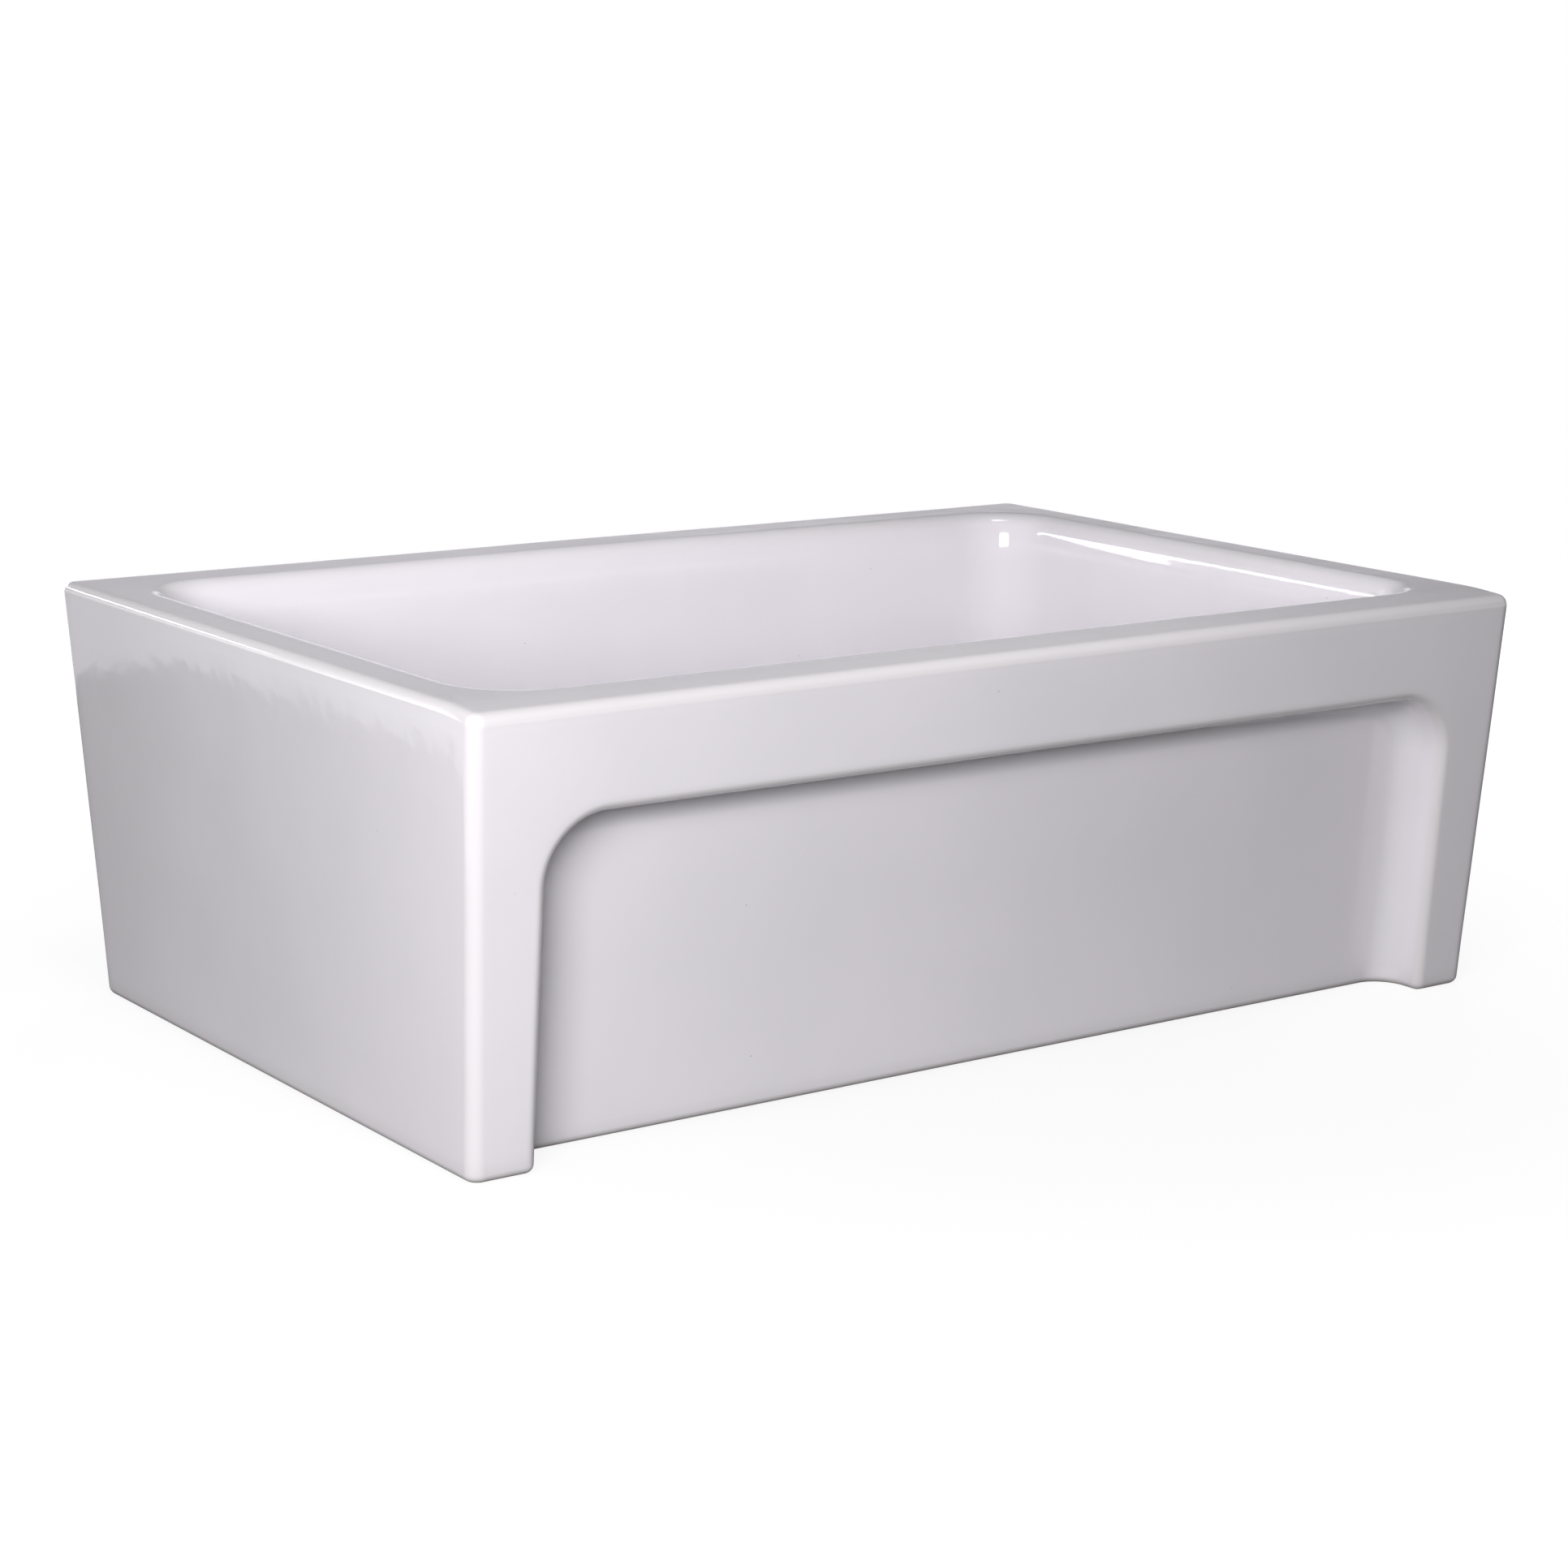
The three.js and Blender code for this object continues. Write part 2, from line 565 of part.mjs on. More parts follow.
function knob() {
  const socket = stemRadius + GAP;
  const neck = socket + KNOB_NECK_WALL;
  const edge = KNOB_EDGE_RADIUS;
  const crown = knobTopZ - edge;
  return turned([
    [0, knobBottomZ + KNOB_SOCKET], [socket, knobBottomZ + KNOB_SOCKET],
    [socket, knobBottomZ], [neck, knobBottomZ], [neck, crown - 2 * edge],
    ...arc(KNOB_DIAMETER / 2 - edge, crown, edge, -KNOB_UNDERCUT_DEG, 90, 2 * FILLET_STEPS),
    [0, knobTopZ - KNOB_HOLLOW],
  ], SMALL_SIDES);
}

function stopperSeal() {
  const bore = stemRadius + GAP;
  return turned([
    [bore, stopperBottomZ], [outletRadius - PLUG_CLEARANCE, stopperBottomZ],
    [outletRadius, stopperBottomZ + GAP],
    [stopperRadius, dishZ(stopperRadius) + 2 * GAP],
    [stopperRadius, stopperTopZ - STOPPER_CHAMFER],
    [stopperRadius - STOPPER_CHAMFER, stopperTopZ], [bore, stopperTopZ],
  ]);
}

function stemNut() {
  const topZ = stopperBottomZ - GAP;
  const bottomZ = topZ - STEM_NUT_HEIGHT;
  const bore = stemRadius + GAP;
  const outside = prism(hexagon(bore + STEM_NUT_WALL), bottomZ, topZ);
  return cut(outside, [rod(bore, bottomZ - OVERCUT, topZ + OVERCUT)]);
}

// ---------------------------------------------------------------- materials

const finish = (color, roughness, metalness) => (
  new THREE.MeshStandardMaterial({ color, roughness, metalness })
);
const fireclay = finish(0xe3e0e6, 0.08, 0);
const stainless = finish(0xb9babd, 0.25, 1);
const zinc = finish(0x9fa3a6, 0.45, 1);
const brass = finish(0xb08d4a, 0.35, 1);
const rubber = finish(0x1e1f21, 0.8, 0);
const fibre = finish(0x8c6b4a, 0.95, 0);
const putty = finish(0xcfc6b2, 0.9, 0);
const polythene = finish(0xe9e9e4, 0.5, 0);

// ---------------------------------------------------------------- assembly

const sink = new THREE.Group();
const fixed = new THREE.Group();
const basket = new THREE.Group();
const stopper = new THREE.Group();
sink.add(fixed, basket);
basket.add(stopper);

function place(group, name, solid, material) {
  const mesh = new THREE.Mesh(geometryOf(solid), material.clone());
  mesh.name = name;
  group.add(mesh);
}

place(fixed, 'sink_basin', sinkBasin(), fireclay);
place(fixed, 'flange_seal', ring(
  holeRadius + GAP, flangeRadius - SEAL_INSET, sealBottomZ, sealTopZ,
), putty);
place(fixed, 'strainer_body', strainerBody(), stainless);
place(fixed, 'stem_guide', stemGuide(), stainless);
place(fixed, 'rubber_gasket', belowRing(GASKET_WIDTH, gasketBottomZ, gasketTopZ), rubber);
place(fixed, 'friction_washer', belowRing(FRICTION_WIDTH, frictionBottomZ, frictionTopZ), fibre);
place(fixed, 'lock_nut', lockNut(), zinc);
place(fixed, 'tailpiece_washer', ring(
  spudRadius - PIPE_WASHER_WIDTH, spudRadius, pipeWasherBottomZ, pipeWasherTopZ,
), polythene);
place(fixed, 'coupling_nut', couplingNut(), zinc);

place(basket, 'basket_cup', basketCup(), stainless);
place(basket, 'stem_bushing', stemBushing(), brass);
place(basket, 'stem_o_ring', stemORing(), rubber);

place(stopper, 'stem', stem(), stainless);
place(stopper, 'knob', knob(), stainless);
place(stopper, 'seal_washer', ring(
  stemRadius + GAP, stopperRadius - SEAL_WASHER_INSET, sealWasherBottomZ, sealWasherTopZ,
), stainless);
place(stopper, 'stopper_seal', stopperSeal(), rubber);
place(stopper, 'stem_nut', stemNut(), brass);

export default sink;
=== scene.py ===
# A farmhouse apron front sink in glazed fireclay, with the basket strainer in its drain.
#
# The file is laid out as a Blender add-on: the sizes and colours are properties, each piece has
# an operator, and a panel in the 3D view's sidebar lists them. Run as a script, it builds it all.
# Metres. +X runs along the sink, -Y is the apron, +Z is up. The origin lies on the basin's
# underside, on the axis of the drain.

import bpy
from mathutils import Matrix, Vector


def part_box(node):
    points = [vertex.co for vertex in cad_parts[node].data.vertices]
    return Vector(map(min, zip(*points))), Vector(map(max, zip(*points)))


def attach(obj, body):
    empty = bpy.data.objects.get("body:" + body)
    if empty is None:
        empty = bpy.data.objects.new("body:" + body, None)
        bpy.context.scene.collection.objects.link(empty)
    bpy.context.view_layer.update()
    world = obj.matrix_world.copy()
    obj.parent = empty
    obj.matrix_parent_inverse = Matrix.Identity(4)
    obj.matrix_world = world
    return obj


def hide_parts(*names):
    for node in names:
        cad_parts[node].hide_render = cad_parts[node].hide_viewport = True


bl_info = {
    "name": "Farmhouse sink",
    "version": (1, 0, 0),
    "blender": (4, 5, 0),
    "location": "3D View > Sidebar > Sink",
    "description": "Builds a fireclay apron front sink and its basket strainer",
    "category": "Add Mesh",
}

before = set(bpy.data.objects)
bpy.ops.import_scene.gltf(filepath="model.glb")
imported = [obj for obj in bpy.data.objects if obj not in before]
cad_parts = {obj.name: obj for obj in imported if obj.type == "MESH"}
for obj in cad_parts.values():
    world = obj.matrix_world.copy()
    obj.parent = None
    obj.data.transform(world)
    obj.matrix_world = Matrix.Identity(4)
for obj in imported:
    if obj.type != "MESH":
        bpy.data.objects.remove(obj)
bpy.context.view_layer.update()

from math import asin, atan2, cos, pi, radians, sin, sqrt, tan

import bpy
import numpy as np
from bpy.props import FloatProperty, FloatVectorProperty, IntProperty, PointerProperty
from mathutils import Matrix, Quaternion, Vector, noise
from mathutils.geometry import tessellate_polygon


def mm(value):
    return value / 1000


def linear(hex_colour):
    """An sRGB hex colour as linear red, green, blue and alpha."""
    channels = (int(hex_colour[i:i + 2], 16) / 255 for i in (1, 3, 5))
    return (*(c / 12.92 if c <= 0.04045 else ((c + 0.055) / 1.055) ** 2.4 for c in channels), 1.0)


# ---------------------------------------------------------------- sizes and colours

def size(name, description, millimetres):
    return FloatProperty(name=name, description=description, default=mm(millimetres),
                         min=0, unit="LENGTH", subtype="DISTANCE", precision=5)


def angle(name, description, degrees):
    return FloatProperty(name=name, description=description, default=radians(degrees),
                         subtype="ANGLE")


def power(name, description, watts):
    return FloatProperty(name=name, description=description, default=watts, min=0, unit="POWER")


def level(name, description, share):
    return FloatProperty(name=name, description=description, default=share, min=0, max=4,
                         subtype="FACTOR")


def colour(name, description, hex_colour):
    return FloatVectorProperty(name=name, description=description, default=linear(hex_colour),
                               size=4, min=0, max=1, subtype="COLOR")


class BasinSizes(bpy.types.PropertyGroup):
    """The fireclay basin."""

    length: size("Length", "Rim length, end to end", 762)
    depth: size("Depth", "Rim, apron to rear", 505)
    height: size("Height", "Underside to rim", 259)
    end_lean: size("End lean", "How far each end wall comes in from rim to base", 8.8)
    front_lean: size("Apron lean", "How far the apron comes in from rim to base", 18.3)
    rear_lean: size("Rear lean", "How far the rear wall comes in from rim to base", 32.6)
    upright_radius: size("Upright edges", "Radius of the four outer upright edges", 9)
    rim_outer_radius: size("Rim's outer edge", "Radius from rim to outer walls", 7)
    rim_inner_radius: size("Rim's inner edge", "Radius from rim to bowl", 10)
    base_radius: size("Base edge", "Radius from outer walls to underside", 5)
    end_rim: size("End rims", "Rim width over the end walls, up to the inner rounding", 28)
    front_rim: size("Front rim", "Rim width over the apron", 34)
    rear_rim: size("Rear rim", "Rim width over the rear wall", 36)
    front_fall: size("Front rim fall", "How far the front rim dips towards the apron", 2.4)
    bowl_corner: size("Bowl corners", "Radius of the upright corners inside the bowl", 40)
    bowl_draft: angle("Bowl draft", "Slope of the bowl's end and rear walls", 2)
    bowl_front_draft: angle("Bowl front draft", "Slope of the bowl's front wall", 5.5)
    bowl_flare: size("Bowl flare", "How far the top of the bowl's walls curls outwards", 2.6)
    bowl_flare_height: size("Flare height", "Height of the wall that curls", 30)
    cove: size("Floor cove", "Radius from bowl walls to floor", 30)
    floor: size("Floor thickness", "Floor thickness at the drain", 25)
    floor_fall: size("Floor fall", "Fall of the floor from its edge to the drain", 4)
    leg_width: size("Legs", "Width of each leg beside the recess, at the base", 41)
    top_rail: size("Top rail", "Height of the apron above the recess", 63)
    recess_depth: size("Recess depth", "Depth of the recessed panel", 32.5)
    recess_corner: size("Recess corners", "Radius of the recess's upper corners", 38)
    recess_lip: size("Recess lip", "Radius from the apron into the recess", 6)
    panel_cove: size("Panel cove", "Radius from the recess's side to its panel", 17)
    drain_hole: size("Drain hole", "Diameter of the hole for the strainer", 90)
    seat_width: size("Seat width", "Width of the sunk ring that the flange lies in", 14)
    seat_depth: size("Seat depth", "Depth of that ring below the floor", 3.2)
    wave: size("Waviness", "How far the fired surface strays from true", 0.42)


class StrainerSizes(bpy.types.PropertyGroup):
    """What the CAD boxes of the drain's pieces don't say."""

    wall: size("Body wall", "Sheet of the strainer body", 1.5)
    neck_length: size("Neck", "Plain length under the flange", 4)
    neck_step: size("Neck step", "How much narrower the threaded barrel is, on the radius", 1.6)
    neck_clearance: size("Neck clearance", "Neck to the drain hole", 0.7)
    body_cove: size("Body cove", "Radius at the foot of the body", 8)
    dish_drop: size("Dish", "Fall of the body's dished bottom", 5)
    outlet: size("Outlet", "Bore of the outlet", 41)
    spud_wall: size("Spud wall", "Wall of the threaded outlet", 3.3)
    spud_length: size("Spud", "Length of the threaded outlet", 21)
    thread_pitch: size("Thread pitch", "Pitch of the strainer's threads", 2.2)
    thread_depth: size("Thread depth", "Depth of those threads", 0.55)
    basket_wall: size("Basket wall", "Sheet of the basket", 1)
    basket_gap: size("Basket gap", "Basket to body, at the top", 2.5)
    basket_taper: size("Basket taper", "How much narrower the basket's floor is, on the radius", 5)
    basket_cove: size("Basket cove", "Radius at the basket's floor", 6)
    rim_thickness: size("Basket rim", "Thickness of the basket's rim", 1.2)
    slots: IntProperty(name="Slots", description="Upright slots round the basket", default=18,
                       min=3)
    slot_width: size("Slot width", "Width of each slot", 3)
    hole: size("Floor holes", "Diameter of the holes in the basket's floor", 3.6)
    stem: size("Stem", "Diameter of the stopper's stem", 6)
    gap: size("Gap", "Clearance between pieces", 0.3)


class Finishes(bpy.types.PropertyGroup):
    """Colours of the finishes."""

    glaze: colour("Glaze", "Opaque white glaze", "#EAE6EB")
    # The thin glaze is partly painted shade: its grey dims the highlights on the edges.
    glaze_thin_and_shade: colour("Thin glaze", "Glaze over an edge, with the body showing through", "#DAD6D8")
    # The pooled glaze is partly painted shade: it greys the coves and the bowl's corners. Its tone
    # also sets the random clouds.
    glaze_pool_and_shade: colour("Pooled glaze", "Thick glaze in a hollow", "#DFDCE1")
    speck: colour("Specks", "Iron specks in the glaze", "#8A8078")
    bisque: colour("Unglazed fireclay", "The ground underside", "#D6CBB6")
    grog: colour("Grog", "Coarse grains in the unglazed body", "#A8977A")
    steel: colour("Stainless steel", "Spun sheet", "#CFCFD1")
    zinc: colour("Cast zinc", "Die-cast nuts", "#A4A7AA")
    brass: colour("Brass", "Turned bushing and nut", "#C9A45C")
    rubber: colour("Black rubber", "Gasket, stopper and O-ring", "#1F2022")
    fibre: colour("Fibre", "Friction washer", "#8C6B4A")
    putty: colour("Putty", "Plumber's putty under the flange", "#CFC6B2")
    polythene: colour("Polythene", "Tailpiece washer", "#ECECE6")


class StudioSettings(bpy.types.PropertyGroup):
    """The stage."""

    key_power: power("Key light", "Power of the soft box at the front left", 20.0)
    key_width: size("Key width", "Width of that soft box", 620)
    key_height: size("Key height", "Height of that soft box", 400)
    strip_power: power("Strip light", "Power of the thin strip at the rear left", 1.2)
    strip_length: size("Strip length", "Length of that strip", 580)
    strip_height: size("Strip height", "Height of that strip", 34)
    box_power: power("Small box light", "Power of the small box under the strip", 0.5)
    box_width: size("Small box width", "Width of that box", 200)
    box_height: size("Small box height", "Height of that box", 105)
    top_power: power("Top light", "Power of the narrow soft box over the bowl", 0.8)
    top_width: size("Top width", "Width of that soft box", 800)
    top_depth: size("Top depth", "Depth of that soft box", 500)
    top_beam: angle("Top beam", "Spread of its beam", 42)
    fill_power: power("Fill light", "Power of the soft box at the rear right", 16.0)
    fill_width: size("Fill width", "Width of that soft box", 900)
    fill_height: size("Fill height", "Height of that soft box", 600)
    walls: level("Walls", "Level of the soft light from the pale walls all round", 0.68)
    ceiling: level("Ceiling", "Level of the soft light from above", 0.05)
    grey_wall: level("Grey wall", "Level of the wall that the gloss mirrors over the backdrop",
                     0.31)
    grey_wall_left: level("Grey wall, left", "How much paler that wall is to the left", 0.14)
    haze: level("Haze", "How much the gloss mirrors of the lamps' haze", 0.4)
    window: level("Window", "Level of the tall window at the rear left", 3.4)
    window_far: level("Window, far", "Level of the window's far side", 0.7)
    table_left: size("Table, left", "From the drain to the table's left edge", 855)
    table_rear: size("Table, rear", "From the drain to the table's rear edge", 1120)
    table_reach: size("Table, reach", "From the drain to the table's other two edges", 1900)
    focal_length: FloatProperty(name="Focal length",
                                description="Of the camera, for a 36 mm wide frame",
                                default=78.86, min=1, unit="CAMERA")


# ---------------------------------------------------------------- tools for shapes

def new_piece(name, vertices, faces):
    mesh = bpy.data.meshes.new(name)
    mesh.from_pydata([tuple(v) for v in vertices], [], faces)
    mesh.validate()
    piece = bpy.data.objects.new(name, mesh)
    bpy.context.scene.collection.objects.link(piece)
    return piece


def finished(piece, body, slot, material, *nodes, sharp_at=40):
    """Shades the piece, gives it its finish, and puts it in the place of the CAD nodes."""
    piece.data.shade_smooth()
    piece.data.set_sharp_from_angle(angle=radians(sharp_at))
    if material and not piece.data.materials:
        piece.data.materials.append(material)
    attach(piece, body)
    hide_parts(*nodes)
    return piece


def arc(centre, radius, start, end, steps):
    """Points of an arc about a centre, angles in degrees, both ends included."""
    angles = np.radians(np.linspace(start, end, steps + 1))
    return [(centre[0] + radius * cos(a), centre[1] + radius * sin(a)) for a in angles]


def eased(outline, radius, steps=3):
    """The outline with its corners rounded off. Points on the axis stay as they are."""
    points, count = [], len(outline)
    for i, corner in enumerate(outline):
        before, after = outline[i - 1], outline[(i + 1) % count]
        if corner[0] == 0:
            points.append(corner)
            continue
        here = np.array(corner)
        ways = [np.array(before) - here, np.array(after) - here]
        lengths = [np.linalg.norm(way) for way in ways]
        reach = min(radius, 0.45 * min(lengths))
        start, end = (here + way / long * reach for way, long in zip(ways, lengths))
        for t in np.linspace(0, 1, steps + 1):
            points.append(tuple((1 - t) ** 2 * start + 2 * t * (1 - t) * here + t ** 2 * end))
    return points


def lathe(name, outline, segments=96):
    """A solid of revolution about Z. The outline is (radius, z) points, anticlockwise with the
    radius to the right; it starts and ends on the axis, or closes on itself."""
    on_axis = outline[0][0] == 0
    rows = outline[1:-1] if on_axis else outline
    turns = [2 * pi * i / segments for i in range(segments)]
    vertices = [(r * cos(a), r * sin(a), z) for r, z in rows for a in turns]
    count = len(rows)
    faces = []
    for row in range(count - 1 if on_axis else count):
        above = (row + 1) % count
        for i in range(segments):
            j = (i + 1) % segments
            faces.append((row * segments + i, row * segments + j,
                          above * segments + j, above * segments + i))
    if on_axis:
        start, last = len(vertices), (count - 1) * segments
        vertices += [(0, 0, outline[0][1]), (0, 0, outline[-1][1])]
        for i in range(segments):
            j = (i + 1) % segments
            faces += [(start, j, i), (start + 1, last + i, last + j)]
    return new_piece(name, vertices, faces)


def washer(name, inner, outer, bottom, top, ease, segments=96):
    return lathe(name, eased([(inner, bottom), (outer, bottom), (outer, top), (inner, top)], ease),
                 segments)


def thread_rows(radius, bottom, top, pitch):
    """Outline points up a cylinder, close enough for a thread to be cut in it."""
    steps = max(2, round((top - bottom) / pitch * 6))
    return [(radius, bottom + (top - bottom) * i / steps) for i in range(steps + 1)]


def cut_thread(piece, radius, bottom, top, pitch, depth):
    """Winds a rounded helical groove into the piece's surface at that radius."""
    for vertex in piece.data.vertices:
        x, y, z = vertex.co
        here = sqrt(x * x + y * y)
        if abs(here - radius) > 1e-5 or not bottom <= z <= top:
            continue
        phase = z / pitch - atan2(y, x) / (2 * pi)
        runout = min(1, (z - bottom) / pitch, (top - z) / pitch)
        inward = depth * runout * (0.5 - 0.5 * cos(2 * pi * phase))
        vertex.co.x, vertex.co.y = x * (1 - inward / here), y * (1 - inward / here)


def worked_out(piece):
    """A new mesh of an object as its modifiers or its curve's settings make it."""
    bpy.context.view_layer.update()
    graph = bpy.context.evaluated_depsgraph_get()
    return bpy.data.meshes.new_from_object(piece.evaluated_get(graph))


def plate(name, outlines, bottom, top, chamfer):
    """An upright plate: the first outline is its edge and the others are holes in it."""
    curve = bpy.data.curves.new(name, "CURVE")
    curve.dimensions, curve.fill_mode = "2D", "BOTH"
    for outline in outlines:
        spline = curve.splines.new("POLY")
        spline.points.add(len(outline) - 1)
        for point, (x, y) in zip(spline.points, outline):
            point.co = (x, y, 0, 1)
        spline.use_cyclic_u = True
    curve.extrude = (top - bottom) / 2 - chamfer
    curve.bevel_depth, curve.bevel_resolution, curve.offset = chamfer, 0, -chamfer
    maker = bpy.data.objects.new(name, curve)
    bpy.context.scene.collection.objects.link(maker)
    mesh = worked_out(maker)
    bpy.data.objects.remove(maker)
    mesh.transform(Matrix.Translation((0, 0, (bottom + top) / 2)))
    piece = bpy.data.objects.new(name, mesh)
    bpy.context.scene.collection.objects.link(piece)
    weld(piece)
    return piece


def apply_modifiers(piece):
    mesh = worked_out(piece)
    piece.modifiers.clear()
    piece.data = mesh


def weld(piece, distance=1e-6):
    piece.modifiers.new("Weld", "WELD").merge_threshold = distance
    apply_modifiers(piece)


def combine(piece, tool, how):
    """Joins a tool to the piece, cuts it away or keeps what they share, and removes the tool."""
    boolean = piece.modifiers.new("Boolean", "BOOLEAN")
    boolean.operation, boolean.solver, boolean.object = how, "EXACT", tool
    apply_modifiers(piece)
    bpy.data.objects.remove(tool)


def circle(radius, segments, centre=(0, 0)):
    return [(centre[0] + radius * cos(2 * pi * i / segments),
             centre[1] + radius * sin(2 * pi * i / segments)) for i in range(segments)]


def add_prism(vertices, faces, ends):
    """Adds a prism between its two ends, each a loop of points, to a mesh in the making."""
    first, count = len(vertices), len(ends[0])
    vertices += ends[0] + ends[1]
    faces += [tuple(first + i for i in range(count))[::-1],
              tuple(first + count + i for i in range(count))]
    faces += [(first + i, first + (i + 1) % count, first + count + (i + 1) % count,
               first + count + i)
              for i in range(count)]


def box_of(node):
    """A turned node's outer radius, bottom and top."""
    low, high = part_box(node)
    return high.x, low.z, high.z


def strainer_radii(context):
    """Radii of the strainer body: its neck, its barrel and the inside of its cup."""
    s, basin = context.scene.sink_strainer, context.scene.sink_basin
    neck = basin.drain_hole / 2 - s.neck_clearance
    barrel = neck - s.neck_step
    return neck, barrel, barrel - s.wall


# ---------------------------------------------------------------- the basin's surface

# Steps along each part of the basin's rings and up its walls.
LEG_STEPS, BEND_STEPS, RAIL_STEPS = 19, 12, 72
FRONT_STEPS = RAIL_STEPS + 2 * BEND_STEPS
REAR_STEPS, END_STEPS, CORNER_STEPS = 64, 48, 12
EASE_STEPS = 8
BOWL_STEPS, COVE_STEPS, FLOOR_STEPS, PANEL_COVE_STEPS = 24, 12, 18, 11
# The bowl's rings crowd towards the rim, where its walls curl.
BOWL_CROWDING = 1.25
# Shares of the way across the flat rim, and across the apron's face, at which its rings lie.
RIM_SHARES, APRON_SHARES = (0.07, 0.36, 0.64, 0.93), (0.07, 0.3, 0.55, 0.8, 0.94)
# Radius of the edges round the drain's seat and hole.
DRAIN_EASE = mm(1.5)
FLOOR_SMOOTHINGS = 40


def rounded_ring(half, front, rear, radius, z, bend_at=None):
    """A rounded rectangle at one level, anticlockwise from above, starting at the left end of
    its front side. With bend_at, the front's points close up outside that distance."""
    right = half - radius
    if bend_at is None:
        front_x = np.linspace(-right, right, FRONT_STEPS + 1)
    else:
        front_x = np.concatenate((
            np.linspace(-right, -bend_at, BEND_STEPS + 1),
            np.linspace(-bend_at, bend_at, RAIL_STEPS + 1)[1:-1],
            np.linspace(bend_at, right, BEND_STEPS + 1)))
    side_y = np.linspace(front + radius, rear - radius, END_STEPS + 1)[1:-1]
    rear_x = np.linspace(right, -right, REAR_STEPS + 1)[1:-1]
    points = [(x, front) for x in front_x]
    points += arc((right, front + radius), radius, -90, 0, CORNER_STEPS)[1:]
    points += [(half, y) for y in side_y]
    points += arc((right, rear - radius), radius, 0, 90, CORNER_STEPS)
    points += [(x, rear) for x in rear_x]
    points += arc((-right, rear - radius), radius, 90, 180, CORNER_STEPS)
    points += [(-half, y) for y in side_y[::-1]]
    points += arc((-right, front + radius), radius, 180, 270, CORNER_STEPS)[:-1]
    return np.array([(x, y, z) for x, y in points])


class BasinSurface:
    """Gathers the vertices and faces of the basin, ring by ring and then the apron."""

    def __init__(self, sizes):
        self.s = sizes
        self.vertices, self.faces = [], []
        self.half_recess = self.end_x(0) - sizes.leg_width
        self.bend_x = self.half_recess - sizes.recess_corner
        self.bend_z = sizes.height - sizes.top_rail - sizes.recess_corner
        self.lip_angle = atan2(3 * sizes.bowl_flare, sizes.bowl_flare_height)
        self.lip_drop = sizes.rim_inner_radius * (1 - sin(self.lip_angle))

    def apron_y(self, z):
        return -self.s.depth / 2 + self.s.front_lean * (1 - z / self.s.height)

    def rear_y(self, z):
        return self.s.depth / 2 - self.s.rear_lean * (1 - z / self.s.height)

    def end_x(self, z):
        return self.s.length / 2 - self.s.end_lean * (1 - z / self.s.height)

    def add_points(self, points):
        first = len(self.vertices)
        self.vertices += [tuple(p) for p in points]
        return list(range(first, len(self.vertices)))

    def add_strip(self, lower, upper, closed=False):
        """Quads between two rows of indices of the same length."""
        for i in range(len(lower) if closed else len(lower) - 1):
            j = (i + 1) % len(lower)
            self.faces.append((lower[i], lower[j], upper[j], upper[i]))

    def outer_ring(self, inset, z):
        return rounded_ring(self.end_x(z) - inset, self.apron_y(z) + inset, self.rear_y(z) - inset,
                            self.s.upright_radius - inset, z, self.bend_x)

    def bowl_ring(self, inset, z):
        """A ring of the bowl. The top of its walls curls outwards, up to the rim's rounding."""
        s = self.s
        below = s.height - z
        curl = min(1, max(0, 1 - (below - self.lip_drop) / s.bowl_flare_height))
        inset += s.bowl_flare * (0.5 - curl ** 3)
        return rounded_ring(
            s.length / 2 - s.end_rim - s.rim_inner_radius - inset - below * tan(s.bowl_draft),
            -s.depth / 2 + s.front_rim + s.rim_inner_radius + inset
            + below * tan(s.bowl_front_draft),
            s.depth / 2 - s.rear_rim - s.rim_inner_radius - inset - below * tan(s.bowl_draft),
            s.bowl_corner - inset, z)

    def rings(self):
        """The whole surface but for the apron, from the underside over the rim to the drain."""
        s = self.s
        quarter = np.radians(np.linspace(0, 90, EASE_STEPS + 1))
        base = [self.outer_ring(s.base_radius * (1 - sin(a)), s.base_radius * (1 - cos(a)))
                for a in quarter]
        shoulder = s.height - s.rim_outer_radius
        leg = np.linspace(s.base_radius, self.bend_z, LEG_STEPS + 1)[1:]
        bend = np.linspace(self.bend_z, shoulder, BEND_STEPS + 1)[1:]
        walls = [self.outer_ring(0, z) for z in (*leg, *bend)]
        over = [self.outer_ring(s.rim_outer_radius * (1 - cos(a)),
                                shoulder + s.rim_outer_radius * sin(a))
                for a in quarter[1:]]
        inner = s.rim_inner_radius
        down = [self.bowl_ring(inner * (cos(a) - cos(self.lip_angle)),
                               s.height - inner * (1 - sin(a)))
                for a in np.linspace(pi / 2, self.lip_angle, EASE_STEPS + 1)]
        flat = [over[-1] * (1 - t) + down[0] * t for t in RIM_SHARES]
        floor_edge = s.floor + s.floor_fall
        top, foot = s.height - self.lip_drop, floor_edge + s.cove
        bowl = [self.bowl_ring(0, top + (foot - top) * t ** BOWL_CROWDING)
                for t in np.linspace(0, 1, BOWL_STEPS + 1)[1:]]
        cove = [self.bowl_ring(s.cove * (1 - cos(a)), foot - s.cove * sin(a))
                for a in np.radians(np.linspace(0, 90, COVE_STEPS + 1))[1:]]
        floor = self.floor_rings(cove[-1])
        self.base_rings = len(base)
        self.wall_top = len(base) + len(walls) - 1
        rows = [self.add_points(r) for r in base + walls + over + flat + down + bowl + cove + floor]
        for k, (lower, upper) in enumerate(zip(rows, rows[1:])):
            if k < self.wall_top:
                self.add_strip(lower[FRONT_STEPS:] + lower[:1], upper[FRONT_STEPS:] + upper[:1])
            else:
                self.add_strip(lower, upper, closed=True)
        return rows

